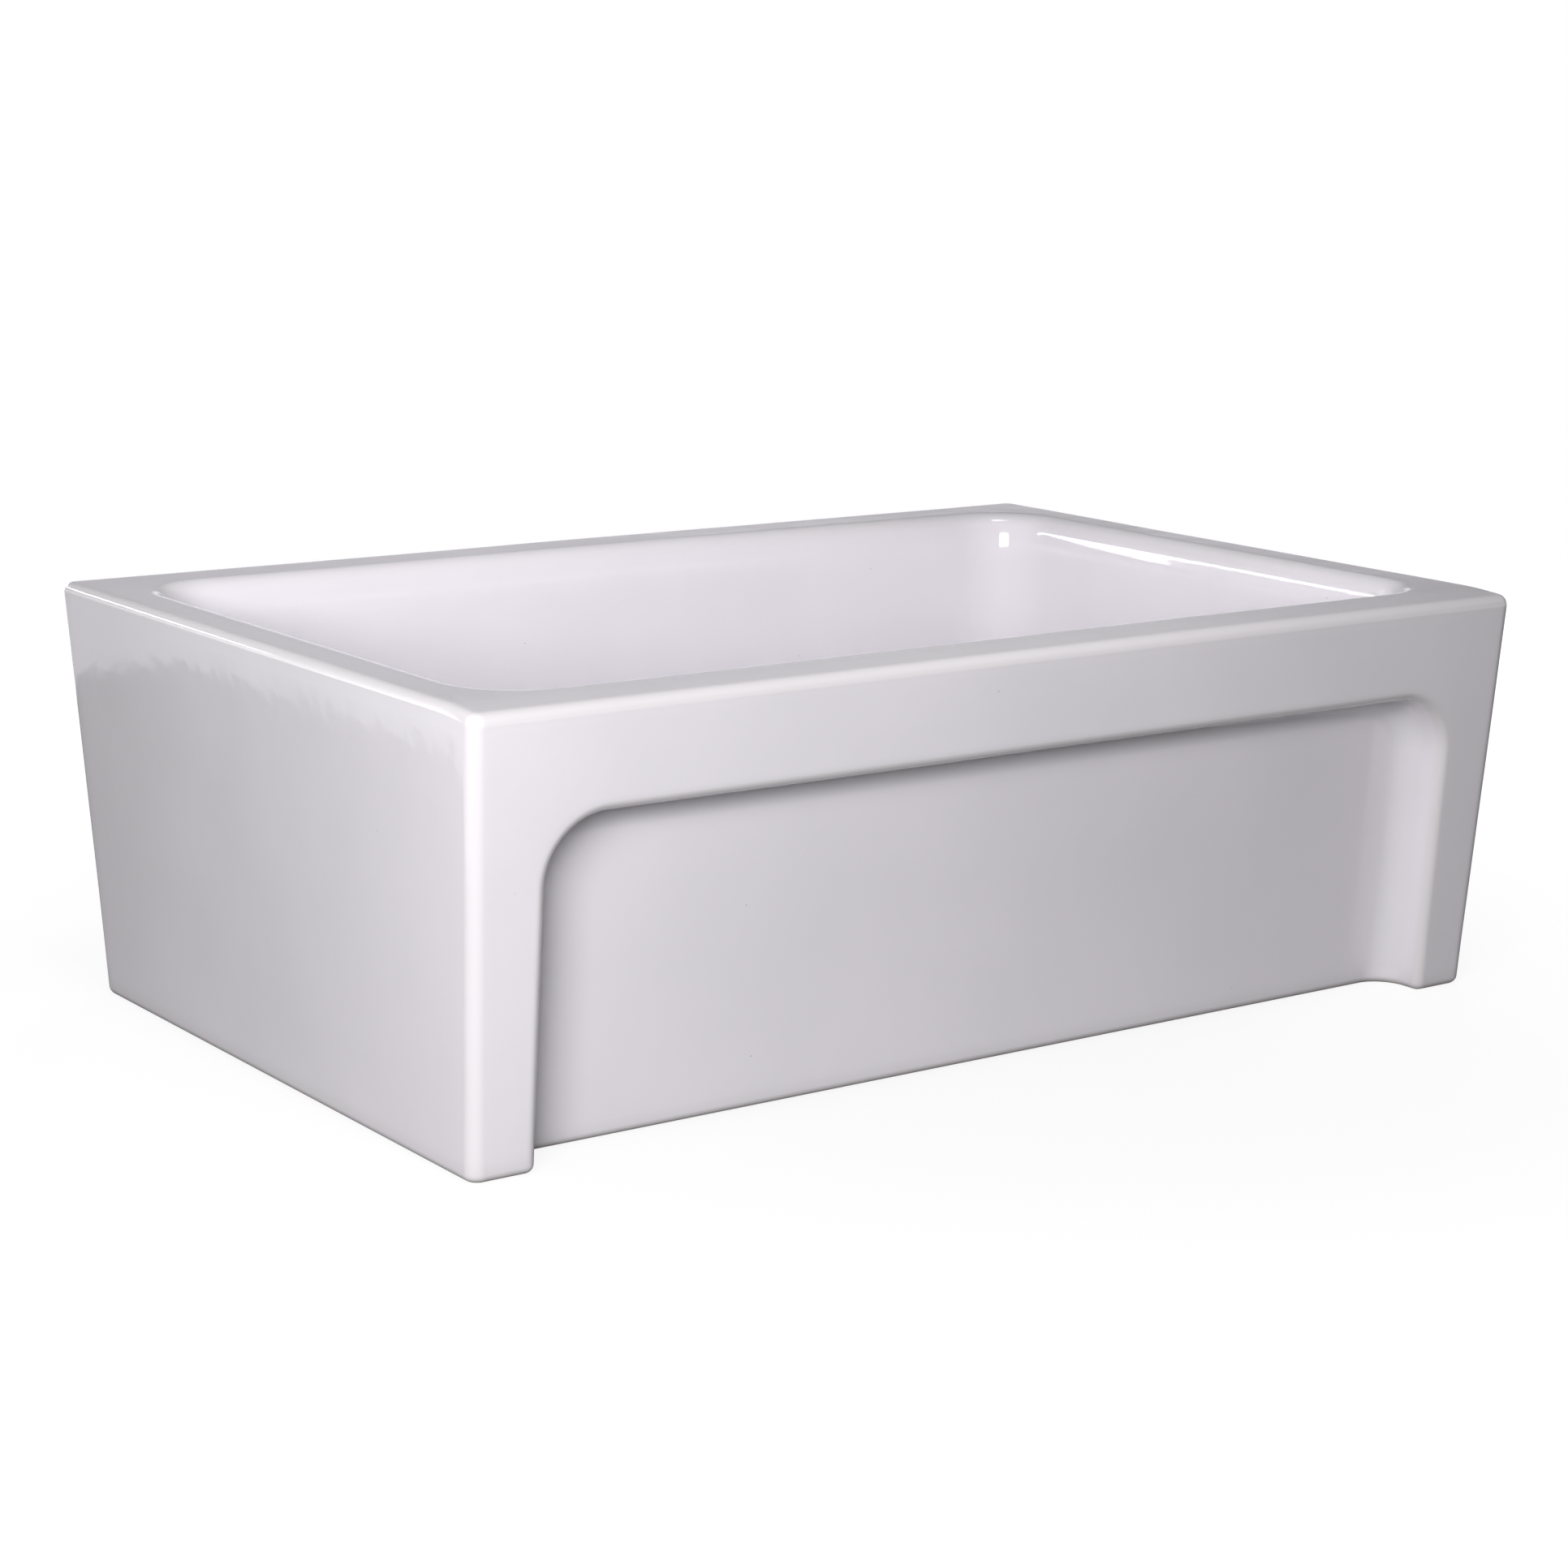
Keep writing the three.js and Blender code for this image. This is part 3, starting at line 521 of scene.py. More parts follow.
    def floor_rings(self, edge):
        """From the foot of the cove in to the drain, down its seat and out at the underside."""
        s = self.s
        hole, ease = s.drain_hole / 2, DRAIN_EASE
        seat = hole + s.seat_width
        seat_z = s.floor - s.seat_depth
        turns = np.arctan2(edge[:, 1], edge[:, 0])
        around = np.column_stack((np.cos(turns), np.sin(turns)))
        reach = np.hypot(edge[:, 0], edge[:, 1])

        def round_ring(radius, z):
            return np.column_stack((around * radius, np.full(len(turns), z)))

        rows = [edge]
        for t in np.linspace(0, 1, FLOOR_STEPS + 1)[1:]:
            radius = reach * (1 - t) + (seat + ease) * t
            z = s.floor + s.floor_fall * radius / reach
            rows.append(np.column_stack((around * radius[:, None], z)))
        # The fall's four faces melt into each other as the cast clay does.
        grid = np.array(rows)
        for _ in range(FLOOR_SMOOTHINGS):
            z = grid[:, :, 2]
            mean = (z[:-2] + z[2:] + np.roll(z, 1, 1)[1:-1] + np.roll(z, -1, 1)[1:-1]) / 4
            grid[1:-1, :, 2] = mean
        lip_z = grid[-1, :, 2].mean()
        grid[-1, :, 2] = lip_z
        rows = list(grid[1:])
        rows += [round_ring(seat + ease - ease * sin(a), lip_z - ease + ease * cos(a))
                 for a in np.radians((22.5, 45, 67.5, 90))]
        rows += [round_ring(seat - ease * (1 - cos(a)), seat_z + ease - ease * sin(a))
                 for a in np.radians((0, 30, 60, 90))]
        rows += [round_ring(hole + ease, seat_z)]
        rows += [round_ring(hole + ease * (1 - sin(a)), seat_z - ease * (1 - cos(a)))
                 for a in np.radians((30, 60, 90))]
        rows += [round_ring(hole, seat_z / 2), round_ring(hole, ease)]
        rows += [round_ring(hole + ease * (1 - cos(a)), ease * (1 - sin(a)))
                 for a in np.radians((30, 60, 90))]
        return rows

    def recess_line(self, depth, outset):
        """The recess's upside-down U at one depth, from the foot of the left leg to the right."""
        half, radius = self.half_recess + outset, self.s.recess_corner + outset
        legs = np.linspace(self.s.base_radius, self.bend_z, LEG_STEPS + 1)
        line = [(-half, z) for z in legs]
        line += arc((-self.bend_x, self.bend_z), radius, 180, 90, 2 * BEND_STEPS)[1:]
        line += [(x, self.bend_z + radius)
                 for x in np.linspace(-self.bend_x, self.bend_x, RAIL_STEPS + 1)[1:]]
        line += arc((self.bend_x, self.bend_z), radius, 90, 0, 2 * BEND_STEPS)[1:]
        line += [(half, z) for z in legs[::-1][1:]]
        return np.array([(x, self.apron_y(z) + depth, z) for x, z in line])

    def apron(self, rows):
        """The legs, the top rail and the recessed panel, sewn to the rings round them."""
        s = self.s
        first, last = self.base_rings - 1, self.wall_top
        border = [rows[k][0] for k in range(first, last)]
        border += rows[last][:FRONT_STEPS + 1]
        border += [rows[k][FRONT_STEPS] for k in range(last - 1, first - 1, -1)]
        edge = np.array([self.vertices[i] for i in border])

        lip_edge = self.recess_line(0, s.recess_lip)
        lines = []
        for t in APRON_SHARES:
            line = edge * (1 - t) + lip_edge * t
            line[:, 1] = self.apron_y(line[:, 2])
            lines.append(line)
        for a in np.radians(np.linspace(0, 90, EASE_STEPS + 1)):
            lines.append(self.recess_line(s.recess_lip * (1 - cos(a)), s.recess_lip * (1 - sin(a))))
        cove_start = s.recess_depth - s.panel_cove
        lines.append(self.recess_line((s.recess_lip + cove_start) / 2, 0))
        for a in np.radians(np.linspace(0, 90, PANEL_COVE_STEPS + 1)):
            lines.append(self.recess_line(cove_start + s.panel_cove * sin(a),
                                          s.panel_cove * (cos(a) - 1)))
        index = [border] + [self.add_points(line) for line in lines]
        for outer, inner in zip(index, index[1:]):
            self.add_strip(inner, outer)

        # The panel, blended from the last line on three sides and the base on the fourth.
        side = LEG_STEPS + BEND_STEPS
        line = lines[-1]
        left, top, right = line[:side + 1], line[side:side + FRONT_STEPS + 1], line[::-1][:side + 1]
        stops = ((0, -self.half_recess + s.panel_cove), (BEND_STEPS, -self.bend_x),
                 (FRONT_STEPS - BEND_STEPS, self.bend_x),
                 (FRONT_STEPS, self.half_recess - s.panel_cove))
        bottom_x = np.interp(range(FRONT_STEPS + 1), *zip(*stops))
        bottom = np.column_stack((bottom_x, np.zeros_like(bottom_x),
                                  np.full_like(bottom_x, s.base_radius)))
        grid = [index[-1][:side + 1]]
        for c in range(1, FRONT_STEPS):
            u = c / FRONT_STEPS
            column = []
            for r in range(side):
                v = r / side
                point = ((1 - v) * bottom[c] + v * top[c] + (1 - u) * left[r] + u * right[r]
                         - (1 - u) * ((1 - v) * left[0] + v * left[-1])
                         - u * ((1 - v) * right[0] + v * right[-1]))
                column.append((point[0], self.apron_y(point[2]) + s.recess_depth, point[2]))
            grid.append(self.add_points(column) + [index[-1][side + c]])
        grid.append(index[-1][::-1][:side + 1])
        for column, beside in zip(grid, grid[1:]):
            self.add_strip(column[::-1], beside[::-1])

        # The lower edge, rounded under along the legs, the recess's sides and the panel.
        foot = [line[0] for line in index] + [column[0] for column in grid[1:-1]]
        foot += [line[-1] for line in index[::-1]]
        path = np.array([self.vertices[i] for i in foot])
        way = np.gradient(path[:, :2], axis=0)
        way[0] = way[-1] = (1, 0)
        way /= np.linalg.norm(way, axis=1)[:, None]
        inward = np.column_stack((-way[:, 1], way[:, 0]))
        above = foot
        for k in range(first - 1, -1, -1):
            turn = radians(90) * (first - k) / first
            inset, z = s.base_radius * (1 - cos(turn)), s.base_radius * (1 - sin(turn))
            row = np.column_stack((path[:, :2] + inward * inset, np.full(len(path), z)))
            row[:, 1] += self.apron_y(z) - self.apron_y(s.base_radius)
            here = [rows[k][0]] + self.add_points(row[1:-1]) + [rows[k][FRONT_STEPS]]
            self.add_strip(here, above)
            above = here
        return above

    def underside(self, rows, front_edge):
        """The ground flat underside, between the base edge and the drain hole."""
        outside = front_edge + rows[0][FRONT_STEPS + 1:]
        loops = [outside, rows[-1]]
        corners = [[Vector((*self.vertices[i][:2], 0)) for i in loop] for loop in loops]
        index = outside + rows[-1]
        for triangle in tessellate_polygon(corners):
            a, b, c = (index[i] for i in triangle)
            pa, pb, pc = (np.array(self.vertices[i][:2]) for i in (a, b, c))
            turn = (pb[0] - pa[0]) * (pc[1] - pa[1]) - (pb[1] - pa[1]) * (pc[0] - pa[0])
            self.faces.append((a, c, b) if turn > 0 else (a, b, c))


# Lengths of the fired surface's slow and quick swells, and where their patterns start.
SLOW_SWELL, QUICK_SWELL = mm(165), mm(62)
SLOW_START, QUICK_START = Vector((3.1, 7.7, 1.9)), Vector((8.3, 2.6, 5.4))
# The glaze runs as thin as it gets over an edge of this radius, and pools in a hollow as tight;
# the glaze material greys both, partly as painted shade.
GLAZE_RADIUS = mm(14)
# The front rim's dip is gone at the first of these depths and whole the second further up.
DIP_GONE, DIP_GROWTH = mm(60), mm(40)
# The base and the drain's seat stay true. Beyond each the swells grow to their full size.
BASE_TRUE, BASE_GROWTH = mm(6), mm(25)
SEAT_TRUE, SEAT_GROWTH = mm(64), mm(40)


def unevenness(point):
    """How far a fired surface strays from true at a point, 0 to 1, in slow and quick swells."""
    p = Vector(point)
    slow = noise.noise(p / SLOW_SWELL + SLOW_START)
    quick = noise.noise(p / QUICK_SWELL + QUICK_START)
    return min(1, max(0, 0.5 + 0.62 * slow + 0.3 * quick))


def settle_surface(mesh, sizes):
    """Lets the true surface sink here and there, as clay does in the kiln, and marks where the
    glaze runs thin over edges and pools in hollows. The glaze material greys those places,
    partly as painted shade."""
    count = len(mesh.vertices)
    points, normals = np.empty(count * 3), np.empty(count * 3)
    mesh.vertices.foreach_get("co", points)
    mesh.vertices.foreach_get("normal", normals)
    points, normals = points.reshape(-1, 3), normals.reshape(-1, 3)

    edges = np.empty(len(mesh.edges) * 2, dtype=np.int64)
    mesh.edges.foreach_get("vertices", edges)
    a, b = edges.reshape(-1, 2).T
    span = points[b] - points[a]
    bend = np.einsum("ij,ij->i", normals[b] - normals[a], span) / np.maximum(
        np.einsum("ij,ij->i", span, span), 1e-12)
    total, share = np.zeros(count), np.zeros(count)
    for end in (a, b):
        np.add.at(total, end, bend)
        np.add.at(share, end, 1)
    curve = np.clip(total / share * GLAZE_RADIUS, -1, 1)

    # The front rim dips outwards, drawn down by the weight of the apron.
    inner_edge = sizes.front_rim - sizes.depth / 2
    outward = np.clip((inner_edge - points[:, 1]) / sizes.front_rim, 0, 1)
    near_rim = np.clip((points[:, 2] - sizes.height + DIP_GONE) / DIP_GROWTH, 0, 1)
    points[:, 2] -= sizes.front_fall * outward ** 1.3 * near_rim

    drain = np.hypot(points[:, 0], points[:, 1])
    free = (np.clip((points[:, 2] - BASE_TRUE) / BASE_GROWTH, 0, 1)
            * np.clip((drain - SEAT_TRUE) / SEAT_GROWTH, 0, 1))
    sink_in = np.array([unevenness(p) for p in points]) * sizes.wave * free
    mesh.vertices.foreach_set("co", (points - normals * sink_in[:, None]).ravel())
    # The marks grey the edges and the hollows in the glaze material, partly as painted shade.
    mesh.attributes.new("glaze_bend_and_shade", "FLOAT", "POINT").data.foreach_set("value", curve)


# ---------------------------------------------------------------- materials

def add_node(tree, kind, inputs=None, **settings):
    """Adds a node with its settings. An input given as a socket is linked, another is set."""
    node = tree.nodes.new(kind)
    for name, value in settings.items():
        setattr(node, name, value)
    for name, value in (inputs or {}).items():
        if isinstance(value, bpy.types.NodeSocket):
            tree.links.new(value, node.inputs[name])
        else:
            node.inputs[name].default_value = value
    return node


def every(millimetres):
    """A texture's scale for features of that size."""
    return 1000 / millimetres


def start_material(name):
    """An empty material, its node tree and the object coordinates that its patterns lie in."""
    material = bpy.data.materials.new(name)
    material.use_nodes = True
    tree = material.node_tree
    tree.nodes.clear()
    coordinates = add_node(tree, "ShaderNodeTexCoord").outputs["Object"]
    return material, tree, coordinates


def end_material(tree, inputs):
    shader = add_node(tree, "ShaderNodeBsdfPrincipled", inputs)
    add_node(tree, "ShaderNodeOutputMaterial", {"Surface": shader.outputs["BSDF"]})


def glazed_fireclay(finishes):
    """Opaque white glaze, sprayed on fireclay and fired: glass over a faintly uneven ground."""
    material, tree, place = start_material("Glazed fireclay")
    # Thin on edges and pooled in hollows, partly as painted shade: greys the edges, which dims
    # their highlights, and the coves a little less.
    edge = add_node(tree, "ShaderNodeAttribute", attribute_name="glaze_bend_and_shade").outputs["Fac"]
    thin_glaze_and_shade = add_node(tree, "ShaderNodeMapRange", {"Value": edge, "From Min": 0.15, "From Max": 1.0,
                                                 "To Max": 0.6}).outputs["Result"]
    # The hollows take the pooled colour, partly as painted shade.
    pooled_glaze_and_shade = add_node(tree, "ShaderNodeMapRange",
                      {"Value": edge, "From Min": -0.1, "From Max": -0.6,
                       "To Max": 0.8}).outputs["Result"]
    # Spraying leaves clouds about 130 mm across, a shade apart.
    cloud = add_node(tree, "ShaderNodeTexNoise",
                     {"Vector": place, "Scale": every(130), "Detail": 2.0,
                      "Roughness": 0.5}).outputs["Fac"]
    clouded = add_node(tree, "ShaderNodeMapRange",
                       {"Value": cloud, "From Min": 0.35, "From Max": 0.65,
                        "To Max": 0.35}).outputs["Result"]
    white = add_node(tree, "ShaderNodeMix", {0: clouded, 6: finishes.glaze,
                                             7: finishes.glaze_pool_and_shade}, data_type="RGBA").outputs[2]
    white = add_node(tree, "ShaderNodeMix", {0: pooled_glaze_and_shade, 6: white, 7: finishes.glaze_pool_and_shade},
                     data_type="RGBA").outputs[2]
    white = add_node(tree, "ShaderNodeMix", {0: thin_glaze_and_shade, 6: white, 7: finishes.glaze_thin_and_shade},
                     data_type="RGBA").outputs[2]
    # Iron specks, each under 1 mm: one cell of 9 mm in forty has one.
    cells = add_node(tree, "ShaderNodeTexVoronoi", {"Vector": place, "Scale": every(9)})
    pick = add_node(tree, "ShaderNodeSeparateColor", {"Color": cells.outputs["Color"]}).outputs[0]
    chosen = add_node(tree, "ShaderNodeMath", {0: pick, 1: 0.975},
                      operation="GREATER_THAN").outputs[0]
    dot = add_node(tree, "ShaderNodeMapRange",
                   {"Value": cells.outputs["Distance"], "From Min": 0.03, "From Max": 0.06,
                    "To Min": 0.75, "To Max": 0.0}).outputs["Result"]
    speck = add_node(tree, "ShaderNodeMath", {0: chosen, 1: dot}, operation="MULTIPLY").outputs[0]
    skin = add_node(tree, "ShaderNodeMix", {0: speck, 6: white, 7: finishes.speck},
                    data_type="RGBA").outputs[2]
    # Orange peel: swells 14 mm across that wobble a reflection, with a finer 3 mm ripple.
    peel = add_node(tree, "ShaderNodeTexNoise", {"Vector": place, "Scale": every(14), "Detail": 1.0,
                                                 "Roughness": 0.4}).outputs["Fac"]
    ripple = add_node(tree, "ShaderNodeTexNoise",
                      {"Vector": place, "Scale": every(3), "Detail": 1.0}).outputs["Fac"]
    swell = add_node(tree, "ShaderNodeBump",
                     {"Height": peel, "Strength": 1.0, "Distance": mm(0.09)}).outputs["Normal"]
    relief = add_node(tree, "ShaderNodeBump",
                      {"Height": ripple, "Strength": 1.0, "Distance": mm(0.008),
                       "Normal": swell}).outputs["Normal"]
    # Fired glass is smooth; a breath of haze keeps it from looking like a mirror.
    haze = add_node(tree, "ShaderNodeMapRange",
                    {"Value": cloud, "To Min": 0.05, "To Max": 0.11}).outputs["Result"]
    end_material(tree, {"Base Color": skin, "Roughness": haze, "IOR": 1.52, "Normal": relief})
    return material


def unglazed_fireclay(finishes):
    """The ground underside: cream body, dull and gritty, with coarse grog grains."""
    material, tree, place = start_material("Unglazed fireclay")
    grains = add_node(tree, "ShaderNodeTexVoronoi", {"Vector": place, "Scale": every(2.2)})
    grit = add_node(tree, "ShaderNodeTexNoise",
                    {"Vector": place, "Scale": every(0.9), "Detail": 3.0}).outputs["Fac"]
    grain = add_node(tree, "ShaderNodeMapRange",
                     {"Value": grains.outputs["Distance"], "From Min": 0.25,
                      "From Max": 0.1, "To Max": 0.5}).outputs["Result"]
    body = add_node(tree, "ShaderNodeMix", {0: grain, 6: finishes.bisque, 7: finishes.grog},
                    data_type="RGBA").outputs[2]
    relief = add_node(tree, "ShaderNodeBump",
                      {"Height": grit, "Strength": 1.0, "Distance": mm(0.15)}).outputs["Normal"]
    end_material(tree, {"Base Color": body, "Roughness": 0.92, "IOR": 1.5, "Normal": relief})
    return material


def spun_steel(finishes):
    """Stainless sheet, spun on a lathe and polished: fine rings that draw out its highlights."""
    material, tree, place = start_material("Spun stainless steel")
    axes = add_node(tree, "ShaderNodeSeparateXYZ", {"Vector": place})
    flat = add_node(tree, "ShaderNodeCombineXYZ",
                    {"X": axes.outputs["X"], "Y": axes.outputs["Y"]}).outputs["Vector"]
    radius = add_node(tree, "ShaderNodeVectorMath", {0: flat}, operation="LENGTH").outputs["Value"]
    along = add_node(tree, "ShaderNodeCombineXYZ",
                     {"X": radius, "Z": axes.outputs["Z"]}).outputs["Vector"]
    # Tool rings 0.35 mm apart, drawn a little coarser than real so that they show.
    rings = add_node(tree, "ShaderNodeTexNoise",
                     {"Vector": along, "Scale": every(0.35), "Detail": 2.0}).outputs["Fac"]
    smear = add_node(tree, "ShaderNodeTexNoise",
                     {"Vector": place, "Scale": every(18), "Detail": 3.0}).outputs["Fac"]
    wear = add_node(tree, "ShaderNodeMapRange", {"Value": smear, "From Min": 0.3, "From Max": 0.7,
                                                 "To Min": 0.16, "To Max": 0.3}).outputs["Result"]
    relief = add_node(tree, "ShaderNodeBump",
                      {"Height": rings, "Strength": 1.0, "Distance": mm(0.006)}).outputs["Normal"]
    end_material(tree, {"Base Color": finishes.steel, "Metallic": 1.0, "Roughness": wear,
                        "Normal": relief})
    return material


def cast_zinc(finishes):
    """Die-cast zinc, tumbled: grey, softly bright, faintly pitted."""
    material, tree, place = start_material("Die-cast zinc")
    skin = add_node(tree, "ShaderNodeTexNoise",
                    {"Vector": place, "Scale": every(1.2), "Detail": 4.0}).outputs["Fac"]
    dull = add_node(tree, "ShaderNodeMapRange",
                    {"Value": skin, "To Min": 0.35, "To Max": 0.55}).outputs["Result"]
    relief = add_node(tree, "ShaderNodeBump",
                      {"Height": skin, "Strength": 1.0, "Distance": mm(0.04)}).outputs["Normal"]
    end_material(tree, {"Base Color": finishes.zinc, "Metallic": 1.0, "Roughness": dull,
                        "Normal": relief})
    return material


def turned_brass(finishes):
    """Free-cutting brass as it comes off the lathe, with a little tarnish."""
    material, tree, place = start_material("Turned brass")
    tarnish = add_node(tree, "ShaderNodeTexNoise",
                       {"Vector": place, "Scale": every(5), "Detail": 3.0}).outputs["Fac"]
    dull = add_node(tree, "ShaderNodeMapRange",
                    {"Value": tarnish, "To Min": 0.22, "To Max": 0.42}).outputs["Result"]
    end_material(tree, {"Base Color": finishes.brass, "Metallic": 1.0, "Roughness": dull})
    return material


def black_rubber(finishes):
    """Moulded nitrile rubber: near black, matt, with a trace of moulding bloom."""
    material, tree, place = start_material("Moulded black rubber")
    bloom = add_node(tree, "ShaderNodeTexNoise",
                     {"Vector": place, "Scale": every(7), "Detail": 4.0}).outputs["Fac"]
    grain = add_node(tree, "ShaderNodeTexNoise",
                     {"Vector": place, "Scale": every(0.6), "Detail": 2.0}).outputs["Fac"]
    dull = add_node(tree, "ShaderNodeMapRange",
                    {"Value": bloom, "To Min": 0.5, "To Max": 0.72}).outputs["Result"]
    relief = add_node(tree, "ShaderNodeBump",
                      {"Height": grain, "Strength": 1.0, "Distance": mm(0.02)}).outputs["Normal"]
    end_material(tree,
                 {"Base Color": finishes.rubber, "Roughness": dull, "IOR": 1.5, "Normal": relief})
    return material


def vulcanised_fibre(finishes):
    """Pressed fibre board: brown, dry, with short fibres lying in its face."""
    material, tree, place = start_material("Pressed fibre")
    stretched = add_node(tree, "ShaderNodeMapping",
                         {"Vector": place, "Scale": (1.0, 6.0, 6.0)}).outputs["Vector"]
    strands = add_node(tree, "ShaderNodeTexNoise",
                       {"Vector": stretched, "Scale": every(4), "Detail": 4.0}).outputs["Fac"]
    shade = add_node(tree, "ShaderNodeMapRange",
                     {"Value": strands, "From Min": 0.3, "From Max": 0.7}).outputs["Result"]
    body = add_node(tree, "ShaderNodeMix", {0: shade, 6: finishes.fibre, 7: finishes.grog},
                    data_type="RGBA").outputs[2]
    relief = add_node(tree, "ShaderNodeBump",
                      {"Height": strands, "Strength": 1.0, "Distance": mm(0.05)}).outputs["Normal"]
    end_material(tree, {"Base Color": body, "Roughness": 0.9, "IOR": 1.5, "Normal": relief})
    return material


def plumbers_putty(finishes):
    """Oily putty, squeezed flat: beige, soft-edged, with a dull shine."""
    material, tree, place = start_material("Plumber's putty")
    lumps = add_node(tree, "ShaderNodeTexNoise",
                     {"Vector": place, "Scale": every(3), "Detail": 3.0}).outputs["Fac"]
    relief = add_node(tree, "ShaderNodeBump",
                      {"Height": lumps, "Strength": 1.0, "Distance": mm(0.2)}).outputs["Normal"]
    end_material(tree,
                 {"Base Color": finishes.putty, "Roughness": 0.6, "IOR": 1.48, "Normal": relief})
    return material


def milky_polythene(finishes):
    """Moulded polythene: milky white and waxy, with light bleeding into its edge."""
    material, tree, place = start_material("Milky polythene")
    wax = add_node(tree, "ShaderNodeTexNoise",
                   {"Vector": place, "Scale": every(6), "Detail": 2.0}).outputs["Fac"]
    dull = add_node(tree, "ShaderNodeMapRange",
                    {"Value": wax, "To Min": 0.38, "To Max": 0.5}).outputs["Result"]
    end_material(tree, {"Base Color": finishes.polythene, "Roughness": dull, "IOR": 1.51,
                        "Subsurface Weight": 0.3, "Subsurface Scale": mm(2)})
    return material


MAKERS = {
    "fireclay": glazed_fireclay,
    "bisque": unglazed_fireclay,
    "stainless": spun_steel,
    "zinc": cast_zinc,
    "brass": turned_brass,
    "black_rubber": black_rubber,
    "fibre": vulcanised_fibre,
    "putty": plumbers_putty,
    "polythene": milky_polythene,
}
made = {}


def material_for(slot, context):
    """The finish for a slot, made the first time that it is asked for."""
    if slot not in made:
        made[slot] = MAKERS[slot](context.scene.sink_finishes)
    return made[slot]


# ---------------------------------------------------------------- operators, one for each piece

# How high the glaze is wiped off round the base.
WIPED = mm(1.8)
# Details of the drain's pieces. The widths of rings are on the radius, and a notch in degrees.
FLANGE_SHEET, FLANGE_ROLL = mm(1.6), mm(1.3)
STEM_CLEARANCE = mm(0.35)
GUIDE_RING, GUIDE_HUB, GUIDE_ARM = mm(1.4), mm(2.6), mm(3)
LUGS, LUG_NOTCH = 8, 26
LOCK_NUT_RING, LOCK_NUT_WEB, LOCK_NUT_SOLE = mm(12), mm(4), mm(2.5)
COUPLING_WALL, COUPLING_LEDGE, COUPLING_SHELF = mm(4.9), mm(9.5), mm(2.5)
SLOT_FOOT, SLOT_HEAD = mm(3.5), mm(7)
HOLE_RINGS, HOLE_SIDES = (8, 14), 20
BUSHING_FLANGE, BUSHING_FLANGE_HEIGHT = mm(2.5), mm(1.6)
KNOB_EDGE, KNOB_NECK, KNOB_SOCKET = mm(3.2), mm(2.2), mm(7.9)
STEM_THREAD, STEM_PITCH, STEM_THREAD_DEPTH = mm(22), mm(1), mm(0.25)


class SINK_OT_basin(bpy.types.Operator):
    """Make the glazed fireclay basin with its recessed apron"""

    bl_idname = "sink.basin"
    bl_label = "Basin"

    def execute(self, context):
        sizes = context.scene.sink_basin
        surface = BasinSurface(sizes)
        rows = surface.rings()
        front_edge = surface.apron(rows)
        surface.underside(rows, front_edge)
        piece = new_piece("basin", surface.vertices, surface.faces)
        settle_surface(piece.data, sizes)
        piece.data.materials.append(material_for("fireclay", context))
        piece.data.materials.append(material_for("bisque", context))
        for face in piece.data.polygons:
            # The glaze is wiped off the underside and the foot of its rounded edge.
            face.material_index = int(face.center.z < WIPED and face.normal.z < -0.3)
        finished(piece, "sink", "fireclay", None, "sink_basin", sharp_at=50)
        for face in piece.data.polygons:
            face.use_smooth = face.normal.z > -0.9999
        return {"FINISHED"}


class SINK_OT_strainer(bpy.types.Operator):
    """Make the strainer body that is clamped in the drain hole"""

    bl_idname = "sink.strainer"
    bl_label = "Strainer body"

    def execute(self, context):
        s = context.scene.sink_strainer
        flange, foot, top = box_of("strainer_body")
        neck, barrel, cup = strainer_radii(context)
        outlet = s.outlet / 2
        spud = outlet + s.spud_wall
        outlet_top = foot + s.spud_length
        cup_floor = outlet_top + s.dish_drop
        bottom = cup_floor + s.body_cove
        dish = cup - s.body_cove
        under = top - FLANGE_SHEET
        neck_foot = under - s.neck_length
        # The bottom and top of each thread.
        spud_thread = foot + mm(0.5), outlet_top - mm(3.5)
        barrel_thread = bottom + mm(0.5), neck_foot - s.neck_step - mm(1)
        outline = [(outlet, foot + mm(0.4)), (outlet + mm(0.4), foot), (spud - mm(0.5), foot)]
        outline += thread_rows(spud, *spud_thread, s.thread_pitch)
        outline += [(spud, outlet_top - s.wall), (dish, cup_floor - s.wall)]
        outline += arc((dish, bottom), s.body_cove + s.wall, -90, 0, 8)[1:]
        outline += thread_rows(barrel, *barrel_thread, s.thread_pitch)
        outline += [(barrel, neck_foot - s.neck_step), (neck, neck_foot), (neck, under)]
        # The flange's edge is turned down on the glaze and rolled over.
        outline += [(flange - mm(4), under), (flange - mm(1.2), under - mm(0.55)),
                    (flange - mm(0.5), under - mm(1.0)), (flange, under - mm(0.8))]
        outline += arc((flange - FLANGE_ROLL, top - FLANGE_ROLL), FLANGE_ROLL, 0, 90, 6)[1:]
        outline += [(flange - mm(6), top - mm(0.05)), (cup + mm(6), top - mm(0.1))]
        throat = neck - s.wall
        outline += arc((throat + mm(3), top - mm(3)), mm(3), 90, 180, 6)[1:]
        outline += [(throat, neck_foot), (cup, neck_foot - s.neck_step)]
        outline += arc((dish, bottom), s.body_cove, 0, -90, 8)
        outline += [(outlet + mm(1.2), outlet_top + mm(0.4)),
                    (outlet + mm(0.3), outlet_top - mm(0.2)),
                    (outlet, outlet_top - mm(1))]
        piece = lathe("strainer_shell", outline, 128)
        for radius, thread in ((spud, spud_thread), (barrel, barrel_thread)):
            cut_thread(piece, radius, *thread, s.thread_pitch, s.thread_depth)
        finished(piece, "sink", "stainless", material_for("stainless", context), "strainer_body")
        return {"FINISHED"}


